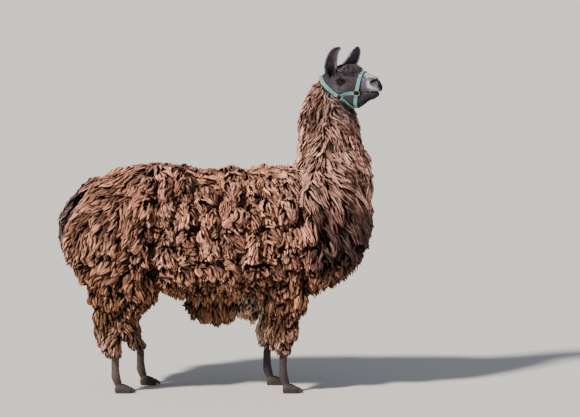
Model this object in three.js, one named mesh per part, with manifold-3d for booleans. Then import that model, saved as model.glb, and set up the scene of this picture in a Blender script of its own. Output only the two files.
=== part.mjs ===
// A llama standing still in a full, unshorn fleece and wearing a webbing halter.
// Millimetres, +X towards the head, +Y to the animal's left, +Z up, floor at Z = 0.
// Every solid of the body reaches to the tips of its wool.
import * as THREE from "three";
import { mergeVertices } from "three/addons/utils/BufferGeometryUtils.js";
import Module from "manifold-3d";

const wasm = await Module();
wasm.setup();

// ---------------------------------------------------------------- driving dimensions
const WITHERS = 1115; // top of the fleece over the shoulders
const RUMP_TOP = 1138; // highest point of the back
const FLEECE_HALF_WIDTH = 292; // middle of the body to the fleece's outer side
const SKIRT = 545; // lower edge of the fleece at the animal's sides
const BELLY = 452; // lowest wool of the belly, apart from its fringe
const FRINGE = 338; // lower edge of the tassels that hang under the belly
const LEG_WOOL_END = 190; // where the wool stops and the bare shank begins
const SHANK_HALF = 20; // half the thickness of a bare lower leg
const FORE_X = 306; // right forefoot, along the body
const HIND_X = -532; // right hindfoot
const LEG_Y = 112; // legs to the middle plane, at the feet
const FAR_FORE_BACK = -82; // the left forefoot stands this far behind the right one
const FAR_HIND_AHEAD = 114; // the left hindfoot stands this far ahead of the right one

const HEAD_AT = [535, 0, 1525]; // middle of the skull between the ears and the jaw's angle
const HEAD_TURN = THREE.MathUtils.degToRad(-24); // the head looks a little to its right
const EYE_RADIUS = 19;
const WEBBING_WIDTH = 19;
const WEBBING_THICKNESS = 2.6;
const RING_RADIUS = 14; // to the middle of the wire
const SIDE_RING_RADIUS = 15;
const RING_WIRE = 2.4;

const GAP = 0.5; // clearance between two solids that touch
const FLOOR_DEPTH = 60; // of the box that flattens the soles

// ---------------------------------------------------------------- materials
const finish = (color, roughness, metalness = 0) =>
  new THREE.MeshStandardMaterial({ color, roughness, metalness });
const FLEECE = finish(0x74503f, 0.95);
const FACE_HAIR = finish(0x3a343a, 0.85);
const LEG_HAIR = finish(0x5b4a44, 0.85);
const EYE = finish(0x15100f, 0.08);
const NAIL = finish(0x2a2523, 0.45);
const WEBBING = finish(0x5fa09c, 0.75);
const BRASS = finish(0xb08d4a, 0.3, 1);

// ---------------------------------------------------------------- building blocks
const RIGHT = new THREE.Vector3(0, -1, 0);
const AHEAD = new THREE.Vector3(1, 0, 0);
const UPWARDS = new THREE.Vector3(0, 0, 1);
const DOWNWARDS = new THREE.Vector3(0, 0, -1);
const clonePoint = (p) => new THREE.Vector3(...p);
const signedPower = (v, p) => Math.sign(v) * Math.abs(v) ** p;

// A closed body along a curve through stations { at: [x, y, z], half: [side, up, down] }.
// "side" is measured along the side vector and "up" along side x axis: upwards on a body that
// runs forwards, forwards on a leg that runs down, backwards on a neck that runs up.
// The rings stand square to "axis", or to the curve itself when no axis is given.
// A negative "down" makes a hollow face, as inside an ear.
function sweep(stations, options = {}) {
  const { around = 20, along = 20, power = 2.2, side = RIGHT, axis = null } = options;
  const { grow = 0, lump = null } = options;
  const centre = new THREE.CatmullRomCurve3(stations.map((s) => clonePoint(s.at)), false, "catmullrom");
  const halves = new THREE.CatmullRomCurve3(stations.map((s) => clonePoint(s.half)), false, "catmullrom");
  const rings = along - 1;
  const ball = new THREE.SphereGeometry(1, around, along);
  const place = ball.getAttribute("position");
  for (let i = 0; i < place.count; i += 1) {
    const [x, y, z] = [place.getX(i), place.getY(i), place.getZ(i)];
    const row = Math.round((Math.acos(THREE.MathUtils.clamp(y, -1, 1)) / Math.PI) * along);
    const u = THREE.MathUtils.clamp((row - 1) / (rings - 1), 0, 1);
    const tangent = axis ?? centre.getTangent(u);
    const across = side.clone().addScaledVector(tangent, -side.dot(tangent)).normalize();
    const up = across.clone().cross(tangent);
    const half = halves.getPoint(u);
    const point = centre.getPoint(u);
    if (row === 0 || row === along) {
      const cap = 0.35 * Math.min(half.x, Math.abs(half.y) + Math.abs(half.z)) + grow;
      point.addScaledVector(tangent, row === 0 ? -cap : cap);
      if (half.z < 0) point.addScaledVector(up, (half.y - half.z) / 2);
    } else {
      const angle = Math.atan2(z, -x);
      const c = signedPower(Math.cos(angle), 2 / power);
      const s = signedPower(Math.sin(angle), 2 / power);
      const swell = lump ? lump(point, angle) : 0;
      point.addScaledVector(across, c * (half.x + grow + swell));
      point.addScaledVector(up, s * ((s > 0 ? half.y : half.z) + grow + swell));
    }
    place.setXYZ(i, point.x, point.y, point.z);
  }
  return solidOf(ball);
}

function solidOf(geometry) {
  const bare = geometry.clone();
  ["normal", "uv"].forEach((name) => bare.deleteAttribute(name));
  const merged = mergeVertices(bare, 1e-3);
  return new wasm.Manifold(
    new wasm.Mesh({
      numProp: 3,
      vertProperties: new Float32Array(merged.getAttribute("position").array),
      triVerts: new Uint32Array(merged.index.array),
    }),
  );
}

function geometryOf(solid) {
  const mesh = solid.getMesh();
  const step = mesh.numProp;
  const points = new Float32Array(mesh.numVert * 3);
  for (let i = 0; i < mesh.numVert; i += 1) {
    points.set(mesh.vertProperties.subarray(i * step, i * step + 3), i * 3);
  }
  const geometry = new THREE.BufferGeometry();
  geometry.setAttribute("position", new THREE.BufferAttribute(points, 3));
  geometry.setIndex(new THREE.BufferAttribute(new Uint32Array(mesh.triVerts), 1));
  geometry.computeVertexNormals();
  return geometry;
}

const whole = (parts) => parts.reduce((sum, part) => sum.add(part));
const mirrored = (stations) =>
  stations.map((s) => ({ ...s, at: [s.at[0], -s.at[1], s.at[2]] }));

// ---------------------------------------------------------------- trunk
// Stations along the body: x, top and bottom of the wool, half the width.
const TRUNK = [
  [-784, 790, 690, 90],
  [-755, 885, 648, 170],
  [-695, 985, 606, 224],
  [-610, 1058, 566, 262],
  [-500, 1104, 540, 282],
  [-330, RUMP_TOP, 520, 270],
  [-200, 1122, 478, 286],
  [-20, 1104, BELLY, FLEECE_HALF_WIDTH + 8],
  [130, 1112, 462, FLEECE_HALF_WIDTH + 4],
  [290, WITHERS, 508, 286],
  [430, 1108, 508, 280],
  [560, 1085, 548, 256],
  [655, 1055, 622, 206],
  [712, 1010, 716, 142],
  [738, 950, 806, 70],
].map(([x, top, bottom, half]) => {
  const middle = bottom + 0.52 * (top - bottom);
  return { at: [x, 0, middle], half: [half, top - middle, middle - bottom] };
});

// The fleece hangs in upright folds, parted by furrows on both sides of the body.
const FURROWS = [-325, -122, 2, 112, 198, 388, 520];
const FURROW_DEPTH = 20;
const FURROW_WIDTH = 26;
function fleeceFolds(point, angle) {
  const sideways = Math.abs(Math.cos(angle));
  const furrow = FURROWS.reduce((sum, x, i) => {
    const off = (point.x - x) / FURROW_WIDTH;
    return sum + (i === 0 ? 1.6 : 1) * Math.exp(-off * off);
  }, 0);
  return 6 - FURROW_DEPTH * sideways * furrow;
}

// Tassels of long wool under the belly.
const FRINGE_TOP = 600;
const BELLY_FRINGE = [
  [-186, 420, 30],
  [-150, 352, 66],
  [-60, FRINGE, 86],
  [20, FRINGE + 4, 88],
  [76, 382, 82],
  [120, FRINGE + 10, 88],
  [180, 350, 80],
  [214, 420, 34],
].map(([x, bottom, half]) => {
  const middle = 470;
  return { at: [x, 0, middle], half: [half, FRINGE_TOP - middle, middle - bottom] };
});

// ---------------------------------------------------------------- neck, tail
// Stations up the neck: height, back and front outline, half the width.
const NECK = [
  [900, 350, 715, 200],
  [1000, 345, 742, 200],
  [1075, 362, 754, 180],
  [1155, 372, 742, 158],
  [1240, 381, 706, 142],
  [1320, 390, 676, 130],
  [1400, 404, 664, 116],
  [1470, 420, 634, 100],
  [1520, 446, 596, 76],
  [1548, 478, 550, 44],
].map(([z, back, front, half]) => {
  const middle = (back + front) / 2;
  return { at: [middle, 0, z], half: [half, middle - back, front - middle] };
});

// The tail hangs over the rump, broad and flat with wool.
const TAIL = [
  { at: [-560, 0, 1050], half: [40, 28, 26] },
  { at: [-616, 0, 1050], half: [56, 34, 30] },
  { at: [-682, 0, 1014], half: [66, 38, 30] },
  { at: [-737, 0, 948], half: [72, 40, 30] },
  { at: [-769, 0, 868], half: [74, 38, 30] },
  { at: [-783, 0, 790], half: [62, 32, 28] },
  { at: [-781, 0, 738], half: [36, 20, 20] },
];

// ---------------------------------------------------------------- legs
// Stations down a leg: height, x of its middle, y, then half [side, forwards, backwards].
const legStations = (rows, lean) =>
  rows.map(([z, x, y, side, ahead, behind]) => ({
    at: [x + lean(z), -y, z],
    half: [side, ahead, behind],
  }));
// A leg set ahead or behind keeps its place in the trunk and leans below it.
const leaning = (offset, hip) => (z) =>
  offset * THREE.MathUtils.clamp((hip - z) / (hip - LEG_WOOL_END), 0, 1) ** 2;
const upright = () => 0;

const HIND_WOOL = [
  [770, -566, 128, 108, 150, 184],
  [680, -554, 148, 118, 196, 200],
  [600, -520, 154, 116, 200, 196],
  [530, -500, 150, 106, 180, 180],
  [460, -500, 138, 94, 172, 142],
  [400, -530, 130, 84, 118, 112],
  [335, -554, 124, 74, 76, 86],
  [255, -560, 118, 62, 60, 64],
  [LEG_WOOL_END, -544, 112, 46, 46, 42],
];
const FORE_WOOL = [
  [720, 335, 118, 84, 110, 116],
  [600, 330, 130, 92, 118, 124],
  [500, 326, 132, 90, 118, 122],
  [440, 318, 128, 84, 104, 104],
  [380, 312, 122, 76, 80, 86],
  [320, 306, 118, 68, 76, 98],
  [260, 302, 114, 58, 60, 80],
  [LEG_WOOL_END + 16, FORE_X, 112, 40, 40, 42],
];
// The bare leg below the wool: shank, fetlock and pastern.
const shankRows = (x) => [
  [LEG_WOOL_END + 70, x, LEG_Y, SHANK_HALF + 2, SHANK_HALF + 3, SHANK_HALF + 3],
  [LEG_WOOL_END - 20, x, LEG_Y, SHANK_HALF - 1, SHANK_HALF, SHANK_HALF],
  [120, x, LEG_Y, SHANK_HALF - 2, SHANK_HALF - 1, SHANK_HALF],
  [78, x + 3, LEG_Y, SHANK_HALF + 3, SHANK_HALF + 2, SHANK_HALF + 5],
  [46, x + 12, LEG_Y, SHANK_HALF + 1, SHANK_HALF, SHANK_HALF],
  [30, x + 18, LEG_Y, SHANK_HALF, SHANK_HALF - 2, SHANK_HALF - 2],
];

// Two toes with a pad below and a nail at the front of each.
const TOE_SPREAD = 16;
const toeStations = (x, y) => [
  { at: [x - 16, y, 21], half: [13, 14, 27] },
  { at: [x + 8, y, 24], half: [16, 22, 30] },
  { at: [x + 38, y, 19], half: [16, 19, 25] },
  { at: [x + 60, y, 13], half: [13, 13, 18] },
];
const nailStations = (x, y) => [
  { at: [x + 46, y, 25], half: [5, 6, 5] },
  { at: [x + 60, y, 22], half: [6.5, 5, 7] },
  { at: [x + 75, y, 13], half: [5, 4, 6] },
  { at: [x + 82, y, 7], half: [2.4, 2, 3] },
];
const TOE_MESH = { around: 8, along: 6, power: 2.3, axis: AHEAD };
const NAIL_MESH = { around: 6, along: 5, power: 2, axis: AHEAD };

const SHANK_MESH = { around: 8, along: 7, power: 2, axis: DOWNWARDS };
const WOOL_MESH = { around: 12, along: 11, power: 2.2, axis: DOWNWARDS };

const belowFloor = solidOf(
  new THREE.BoxGeometry(4000, 2000, FLOOR_DEPTH).translate(0, 0, -FLOOR_DEPTH / 2),
);

function leg(name, rows, footX, side, offset) {
  const hip = rows[1][0];
  const lean = offset ? leaning(offset, hip) : upright;
  const turn = side === "right" ? (s) => s : mirrored;
  const wool = turn(legStations(rows, lean));
  const shank = turn(legStations(shankRows(footX), lean));
  const y = side === "right" ? -LEG_Y : LEG_Y;
  const toeX = footX + offset + 16;
  const toes = whole(
    [-1, 1].map((k) => sweep(toeStations(toeX, y + k * TOE_SPREAD), TOE_MESH)),
  );
  const nails = [-1, 1].map((k) => [
    name + "_nail_" + (k * (side === "right" ? -1 : 1) > 0 ? "outer" : "inner"),
    nailStations(toeX, y + k * TOE_SPREAD),
  ]);
  const foot = nails.reduce(
    (made, [, stations]) => made.subtract(sweep(stations, { ...NAIL_MESH, grow: GAP })),
    toes.subtract(sweep(shank, { ...SHANK_MESH, grow: GAP })).subtract(belowFloor),
  );
  return {
    inTrunk: (grow) => sweep(wool, { ...WOOL_MESH, grow }),
    nodes: [
      [name, sweep(wool, WOOL_MESH).subtract(sweep(shank, { ...SHANK_MESH, grow: GAP })), FLEECE],
      [name + "_shank", sweep(shank, SHANK_MESH), LEG_HAIR],
      [name + "_foot", foot, LEG_HAIR],
      ...nails.map(([nail, stations]) => [nail, sweep(stations, NAIL_MESH), NAIL]),
    ],
  };
}

// ---------------------------------------------------------------- head
// The head's own frame: x forwards along the face, y to its left, z up from the skull's middle.
const headFrame = new THREE.Matrix4()
  .makeTranslation(...HEAD_AT)
  .multiply(new THREE.Matrix4().makeRotationZ(HEAD_TURN));
const inHead = (p) => clonePoint(p).applyMatrix4(headFrame);
const headStations = (stations) => stations.map((s) => ({ ...s, at: inHead(s.at).toArray() }));
const headAxis = (v) => clonePoint(v).transformDirection(headFrame);
const HEAD_RIGHT = headAxis([0, -1, 0]);
const HEAD_AHEAD = headAxis([1, 0, 0]);

const profile = (rows, share) =>
  rows.map(([x, top, bottom, half]) => {
    const middle = bottom + share * (top - bottom);
    return { at: [x, 0, middle], half: [half, top - middle, middle - bottom] };
  });
// Skull and upper jaw, then lower jaw, then forelock: x, top, bottom, half the width.
const SKULL = profile(
  [
    [-46, 34, -50, 40],
    [-20, 72, -68, 60],
    [25, 90, -72, 67],
    [70, 97, -66, 66],
    [110, 96, -54, 61],
    [150, 90, -46, 55],
    [188, 81, -36, 48],
    [220, 72, -24, 40],
    [246, 60, -19, 37],
    [264, 43, -14, 34],
    [277, 20, -15, 26],
  ],
  0.45,
);
const JAW = profile(
  [
    [10, -10, -78, 50],
    [60, -8, -98, 56],
    [110, -8, -104, 52],
    [158, -8, -101, 44],
    [190, -10, -80, 36],
    [216, -14, -60, 31],
    [243, -17, -50, 28],
    [262, -19, -42, 22],
  ],
  0.6,
);
const FORELOCK = profile(
  [
    [14, 98, 40, 30],
    [60, 107, 50, 40],
    [110, 111, 55, 38],
    [145, 108, 60, 28],
    [168, 95, 66, 16],
  ],
  0.4,
);
const EYE_AT = [81, 46, 30];
const EYE_SOCKET = 7; // depth of the hollow round the eye
const SOCKET_WIDTH = 26;
const NOSTRIL_AT = [260, 27, 33];

// The hollow round each eye, and the brow and cheek that stand round it.
function faceRelief(point) {
  const local = point.clone().sub(clonePoint(HEAD_AT)).applyAxisAngle(new THREE.Vector3(0, 0, 1), -HEAD_TURN);
  const off = (local.x - EYE_AT[0]) / SOCKET_WIDTH;
  return -0.4 * EYE_SOCKET * Math.exp(-off * off);
}

// Ears: from the base to the tip, both in the head's frame, with the way the hollow faces.
const EAR_MESH = { around: 10, along: 9, power: 2 };
const EARS = {
  ear_right: {
    hollow: [0.42, -0.9, 0],
    stations: [
      { at: [27, -44, 60], half: [28, 18, 14] },
      { at: [29, -52, 88], half: [30, 19, 0] },
      { at: [34, -59, 120], half: [29, 18, -6] },
      { at: [43, -62, 152], half: [26, 15, -6] },
      { at: [57, -57, 181], half: [18, 11, -4] },
      { at: [80, -48, 200], half: [7, 5, 1] },
    ],
  },
  ear_left: {
    hollow: [0.72, -0.69, 0],
    stations: [
      { at: [46, 44, 60], half: [24, 18, 14] },
      { at: [68, 52, 90], half: [29, 19, 0] },
      { at: [95, 58, 122], half: [31, 18, -6] },
      { at: [111, 60, 152], half: [28, 15, -6] },
      { at: [123, 56, 181], half: [19, 11, -4] },
      { at: [130, 48, 200], half: [7, 5, 1] },
    ],
  },
};
function ear({ hollow, stations }, grow = 0) {
  const way = headAxis([stations[3].at[0] - stations[1].at[0], 0, stations[3].at[2] - stations[1].at[2]]);
  const side = way.clone().cross(headAxis(hollow).negate());
  return sweep(headStations(stations), { ...EAR_MESH, side: side.normalize(), grow });
}

const eyeBall = (k, grow = 0) =>
  solidOf(
    new THREE.SphereGeometry(EYE_RADIUS + grow, 12, 8).translate(
      ...inHead([EYE_AT[0], k * EYE_AT[1], EYE_AT[2]]).toArray(),
    ),
  );
const nostril = (k) =>
  solidOf(
    new THREE.SphereGeometry(1, 8, 6)
      .scale(11, 7, 6)
      .rotateZ(k * 0.5)
      .rotateY(0.5)
      .translate(NOSTRIL_AT[0], k * NOSTRIL_AT[1], NOSTRIL_AT[2])
      .applyMatrix4(headFrame),
  );

function headSolid(grow = 0) {
  const shape = { side: HEAD_RIGHT, axis: HEAD_AHEAD, grow };
  return whole([
    sweep(headStations(SKULL), { ...shape, around: 16, along: 16, lump: faceRelief }),
    sweep(headStations(JAW), { ...shape, around: 12, along: 10, power: 2.4 }),
    sweep(headStations(FORELOCK), { ...shape, around: 8, along: 7 }),
  ]);
}

// ---------------------------------------------------------------- putting the flesh together
const legs = {
  foreRight: leg("foreleg_right", FORE_WOOL, FORE_X, "right", 0),
  foreLeft: leg("foreleg_left", FORE_WOOL, FORE_X, "left", FAR_FORE_BACK),
  hindRight: leg("hindleg_right", HIND_WOOL, HIND_X, "right", 0),
  hindLeft: leg("hindleg_left", HIND_WOOL, HIND_X, "left", FAR_HIND_AHEAD),
};
const NECK_MESH = { around: 18, along: 13, power: 2.1, axis: UPWARDS };
const TAIL_MESH = { around: 10, along: 10, power: 2.2 };
const TRUNK_MESH = { around: 20, along: 36, power: 2.4, axis: AHEAD, lump: fleeceFolds };
const FRINGE_MESH = { around: 8, along: 11, power: 2.6, axis: AHEAD };

let trunk = sweep(TRUNK, TRUNK_MESH).add(sweep(BELLY_FRINGE, FRINGE_MESH));
Object.values(legs).forEach((made) => {
  trunk = trunk.subtract(made.inTrunk(GAP));
});
trunk = trunk
  .subtract(sweep(NECK, { ...NECK_MESH, grow: GAP }))
  .subtract(sweep(TAIL, { ...TAIL_MESH, grow: GAP }));

const neck = sweep(NECK, NECK_MESH).subtract(headSolid(GAP));

let head = headSolid();
Object.values(EARS).forEach((made) => {
  head = head.subtract(ear(made, GAP));
});
[-1, 1].forEach((k) => {
  head = head.subtract(eyeBall(k, GAP)).subtract(nostril(k));
});

const nodes = [
  ["trunk", trunk, FLEECE],
  ["neck", neck, FLEECE],
  ["tail", sweep(TAIL, TAIL_MESH), FLEECE],
  ["head", head, FACE_HAIR],
  ...Object.entries(EARS).map(([name, made]) => [name, ear(made), FACE_HAIR]),
  ["eye_right", eyeBall(-1), EYE],
  ["eye_left", eyeBall(1), EYE],
  ...Object.values(legs).flatMap((made) => made.nodes),
];

// ---------------------------------------------------------------- halter
// Webbing lies on the head: each point of its route is cast onto the body from the head's axis.
const STRAP_LIFT = 3.4; // from the hair to the strap's back
const WOOL_LIFT = 7; // where a strap runs over the wool behind the head
const RING_LIFT = RING_WIRE + 1.6; // from there to the middle of a ring's wire
const CAST_FROM = 150; // from the head's axis
const surface = new THREE.Mesh(
  geometryOf(headSolid().add(sweep(NECK, NECK_MESH))),
  new THREE.MeshBasicMaterial({ side: THREE.DoubleSide }),
);
const ray = new THREE.Raycaster();
function onSurface(p, lift = STRAP_LIFT) {
  const core = inHead([THREE.MathUtils.clamp(p.x, -30, 250), 0, p.x > 120 ? -6 : 0]);
  const target = inHead(p.toArray());
  const away = target.clone().sub(core).normalize();
  ray.set(core.clone().addScaledVector(away, CAST_FROM), away.clone().negate());
  const [hit] = ray.intersectObject(surface);
  return hit.point.addScaledVector(away, lift);
}

// A strap through a few points of the head's frame, as a box bent along its route.
function strap(points, steps, lift = STRAP_LIFT) {
  const route = new THREE.CatmullRomCurve3(points.map(clonePoint), false, "centripetal");
  const box = new THREE.BoxGeometry(1, 1, 1, steps, 1, 1);
  const place = box.getAttribute("position");
  const middle = (t) => onSurface(route.getPointAt(THREE.MathUtils.clamp(t, 0, 1)), lift);
  for (let i = 0; i < place.count; i += 1) {
    const t = place.getX(i) + 0.5;
    const local = route.getPointAt(t);
    const radial = local.clone().sub(new THREE.Vector3(THREE.MathUtils.clamp(local.x, -30, 250), 0, 0));
    const across = route.getTangentAt(t).cross(radial).normalize();
    const spot = onSurface(local.addScaledVector(across, place.getY(i) * WEBBING_WIDTH), lift);
    const ahead = middle(t + 0.03).sub(middle(t - 0.03));
    const out = ahead.cross(headAxis(across.toArray())).normalize();
    if (out.dot(headAxis(radial.toArray())) < 0) out.negate();
    spot.addScaledVector(out, (place.getZ(i) + 0.5) * WEBBING_THICKNESS);
    place.setXYZ(i, spot.x, spot.y, spot.z);
  }
  const made = solidOf(box);
  if (made.volume() > 0) return made;
  const flipped = box.toNonIndexed();
  const at = flipped.getAttribute("position");
  for (let i = 0; i < at.count; i += 3) {
    const [a, b] = [0, 1].map((k) => new THREE.Vector3().fromBufferAttribute(at, i + k));
    at.setXYZ(i, b.x, b.y, b.z);
    at.setXYZ(i + 1, a.x, a.y, a.z);
  }
  return solidOf(flipped);
}

// Where the straps meet, for the left side; the right side is its mirror image.
const CHEEK_RING = [80, 64, -48];
const SIDE_RING = [166, 50, -25];
const NOSE_TOP = [187, 0, 84];
const CHIN = [150, 0, -104];
const mirrorTo = (k) => ([x, y, z]) => [x, k * y, z];
const towards = (a, b, distance) => {
  const from = clonePoint(a);
  return from.addScaledVector(clonePoint(b).sub(from).normalize(), distance).toArray();
};
const CLEAR = RING_RADIUS + RING_WIRE + 1.6; // a strap's end stops this far from a ring's middle
const SIDE_CLEAR = SIDE_RING_RADIUS + RING_WIRE + 3;

// A ring lies flat on the four points of the head round its middle.
function ringSolid(at, radius, k) {
  const middle = clonePoint(mirrorTo(k)(at));
  const reach = radius + RING_WIRE;
  const [front, back, above, below] = [[1, 0], [-1, 0], [0, 1], [0, -1]].map(([x, z]) =>
    onSurface(middle.clone().add(new THREE.Vector3(x * reach, 0, z * reach))),
  );
  const away = front.clone().sub(back).cross(above.clone().sub(below)).normalize();
  if (away.dot(headAxis([0, k, 0])) < 0) away.negate();
  const spot = front.add(back).add(above).add(below).divideScalar(4).addScaledVector(away, RING_LIFT);
  const turn = new THREE.Quaternion().setFromUnitVectors(UPWARDS, away);
  return solidOf(
    new THREE.TorusGeometry(radius, RING_WIRE, 5, 10)
      .applyQuaternion(turn)
      .translate(...spot.toArray()),
  );
}

const halter = [
  ["nose_strap", strap(
    [
      towards(mirrorTo(-1)(SIDE_RING), [181, -34, 60], SIDE_CLEAR),
      [181, -40, 48],
      NOSE_TOP,
      [181, 40, 48],
      towards(SIDE_RING, [181, 34, 60], SIDE_CLEAR),
    ],
    12,
  )],
  ["chin_strap", strap(
    [
      towards(mirrorTo(-1)(SIDE_RING), [160, -44, -60], SIDE_CLEAR),
      [158, -42, -66],
      CHIN,
      [158, 42, -66],
      towards(SIDE_RING, [160, 44, -60], SIDE_CLEAR),
    ],
    12,
  )],
  ["crown_strap", strap(
    [
      towards(mirrorTo(-1)(CHEEK_RING), [42, -66, -15], CLEAR),
      [42, -66, -15],
      [12, -62, 6],
      [-12, -52, 24],
      [-32, -30, 48],
      [-38, 0, 60],
      [-32, 30, 48],
      [-12, 52, 24],
      [12, 62, 6],
      [42, 66, -15],
      towards(CHEEK_RING, [42, 66, -15], CLEAR),
    ],
    24,
    WOOL_LIFT,
  )],
];
for (const [k, name] of [[-1, "right"], [1, "left"]]) {
  const turn = mirrorTo(k);
  halter.push(
    ["cheek_strap_" + name, strap([
      towards(turn(CHEEK_RING), turn(SIDE_RING), CLEAR),
      turn([122, 56, -31]),
      towards(turn(SIDE_RING), turn(CHEEK_RING), SIDE_CLEAR),
    ], 5)],
    ["throat_strap_" + name, strap([
      towards(turn(CHEEK_RING), turn([107, 54, -73]), CLEAR),
      turn([122, 46, -84]),
      turn([141, 30, -98]),
    ], 8, 9)],
    ["cheek_ring_" + name, ringSolid(CHEEK_RING, RING_RADIUS, k)],
    ["side_ring_" + name, ringSolid(SIDE_RING, SIDE_RING_RADIUS, k)],
  );
}
halter.forEach(([name, solid]) => {
  nodes.push([name, solid, name.includes("ring") ? BRASS : WEBBING]);
});

// ---------------------------------------------------------------- the scene
const llama = new THREE.Group();
nodes.forEach(([name, solid, material]) => {
  const mesh = new THREE.Mesh(geometryOf(solid), material);
  mesh.name = name;
  llama.add(mesh);
});

// The part's origin is on the floor under the middle of its box.
const middle = new THREE.Box3().setFromObject(llama).getCenter(new THREE.Vector3());
llama.position.set(-middle.x, -middle.y, 0);

export default llama;
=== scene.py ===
"""A llama standing in a full, matted fleece, with a webbing halter on its head.

One skin stands for all the flesh nodes of the frame. The fleece is solid mesh: thousands of crimped
locks that start at the skin and lie along the outline of the frame's solids. Metres, +X ahead,
+Y to the animal's left, +Z up.
"""

import math

import bmesh
import bpy
import numpy as np
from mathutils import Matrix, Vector
from mathutils.bvhtree import BVHTree
from mathutils.kdtree import KDTree


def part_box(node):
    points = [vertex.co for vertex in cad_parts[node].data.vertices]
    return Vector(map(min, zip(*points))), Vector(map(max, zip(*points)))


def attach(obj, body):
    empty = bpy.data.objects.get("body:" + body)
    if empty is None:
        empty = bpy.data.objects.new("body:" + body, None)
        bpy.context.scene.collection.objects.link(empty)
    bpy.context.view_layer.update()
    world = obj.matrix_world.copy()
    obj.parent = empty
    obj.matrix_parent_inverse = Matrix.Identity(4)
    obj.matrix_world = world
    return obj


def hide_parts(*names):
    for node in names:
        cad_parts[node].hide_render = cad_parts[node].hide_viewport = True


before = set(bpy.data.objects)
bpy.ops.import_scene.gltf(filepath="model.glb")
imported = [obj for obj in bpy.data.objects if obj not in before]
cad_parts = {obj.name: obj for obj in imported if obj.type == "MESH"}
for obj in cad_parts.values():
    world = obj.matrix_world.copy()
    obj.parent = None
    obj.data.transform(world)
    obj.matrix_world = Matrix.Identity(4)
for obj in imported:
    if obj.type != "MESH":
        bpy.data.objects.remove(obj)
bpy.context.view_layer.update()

LEGS = ["foreleg_right", "foreleg_left", "hindleg_right", "hindleg_left"]
FLEECE_NODES = ["trunk", "neck", "tail"] + LEGS
FOOT_NODES = [leg + part for leg in LEGS for part in ("_shank", "_foot")]
HEAD_NODES = ["head", "ear_right", "ear_left"]
STRAPS = ["nose_strap", "chin_strap", "crown_strap", "cheek_strap_right", "cheek_strap_left",
          "throat_strap_right", "throat_strap_left"]
FLESH = FLEECE_NODES + FOOT_NODES + HEAD_NODES
HANDS = ((-1, "right"), (1, "left"))  # side of the body and its name

# ------------------------------------------------------------------ the head's own frame
HEAD_TURN = math.radians(-24)
EYE_LOCAL = np.array([0.081, 0.046, 0.030])  # the left eye
HEAD_FLOOR = 1.38  # head and halter lie above this height


def box_centre(node):
    low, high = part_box(node)
    return np.array((low + high) / 2)


HEAD_AXES = np.array([  # rows: ahead, to the left, up
    [math.cos(HEAD_TURN), math.sin(HEAD_TURN), 0],
    [-math.sin(HEAD_TURN), math.cos(HEAD_TURN), 0],
    [0, 0, 1],
])
EYES_MIDDLE = (box_centre("eye_right") + box_centre("eye_left")) / 2
HEAD_AT = EYES_MIDDLE - np.array([EYE_LOCAL[0], 0, EYE_LOCAL[2]]) @ HEAD_AXES
SHIFT = HEAD_AT[0] - 0.535  # the frame's origin lies this far behind the body's own zero


def to_head(p):
    return (np.asarray(p) - HEAD_AT) @ HEAD_AXES.T


def from_head(p):
    return np.asarray(p) @ HEAD_AXES + HEAD_AT


# ------------------------------------------------------------------ mesh helpers
def make_mesh(name, verts, quads=None, tris=None, smooth=True):
    """A mesh from arrays of corners, four-sided and three-sided faces."""
    quads = np.zeros((0, 4), int) if quads is None else np.asarray(quads)
    tris = np.zeros((0, 3), int) if tris is None else np.asarray(tris)
    mesh = bpy.data.meshes.new(name)
    mesh.vertices.add(len(verts))
    mesh.vertices.foreach_set("co", np.ascontiguousarray(verts, np.float32).ravel())
    corners = np.concatenate([quads.ravel(), tris.ravel()]).astype(np.int32)
    sizes = np.concatenate([np.full(len(quads), 4), np.full(len(tris), 3)])
    mesh.loops.add(len(corners))
    mesh.loops.foreach_set("vertex_index", corners)
    mesh.polygons.add(len(sizes))
    starts = np.concatenate([[0], np.cumsum(sizes)[:-1]]).astype(np.int32)
    mesh.polygons.foreach_set("loop_start", starts)
    mesh.polygons.foreach_set("use_smooth", np.full(len(sizes), smooth))
    mesh.update(calc_edges=True)
    mesh.validate()
    return mesh


def add_object(mesh, name=None):
    obj = bpy.data.objects.new(name or mesh.name, mesh)
    bpy.context.scene.collection.objects.link(obj)
    return obj


def show(mesh, look, slot, *nodes):
    """Adds a piece: its material, the body it rides on, and the frame nodes it replaces. The slot is not
    used.
    """
    mesh.materials.append(look)
    obj = add_object(mesh)
    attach(obj, "root")
    if nodes:
        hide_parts(*nodes)


def shade_smooth(mesh):
    mesh.polygons.foreach_set("use_smooth", np.ones(len(mesh.polygons), bool))


def add_vectors(mesh, name, values):
    attribute = mesh.attributes.new(name, "FLOAT_VECTOR", "POINT")
    attribute.data.foreach_set("vector", values.astype(np.float32).ravel())


def tube_quads(rows, around):
    """Faces between the rings of a tube whose corners run ring by ring."""
    start = np.arange(rows - 1)[:, None] * around
    j = np.arange(around)[None]
    after = (j + 1) % around
    return np.stack([start + j, start + after, start + around + after, start + around + j], 2).reshape(-1, 4)


def inside_out(verts, quads):
    """True if four-sided faces enclose a negative volume."""
    a, b, c, d = (verts[quads[:, i]] for i in range(4))
    return (np.cross(b - a, c - a) * a).sum() + (np.cross(c - a, d - a) * a).sum() < 0


def points_of(mesh):
    co = np.empty(len(mesh.vertices) * 3, np.float32)
    mesh.vertices.foreach_get("co", co)
    return co.reshape(-1, 3).astype(float)


def triangles_of(mesh):
    mesh.calc_loop_triangles()
    tri = np.empty(len(mesh.loop_triangles) * 3, np.int32)
    mesh.loop_triangles.foreach_get("vertices", tri)
    return tri.reshape(-1, 3)


def edges_of(mesh):
    edges = np.empty(len(mesh.edges) * 2, np.int32)
    mesh.edges.foreach_get("vertices", edges)
    return edges.reshape(-1, 2)


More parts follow.
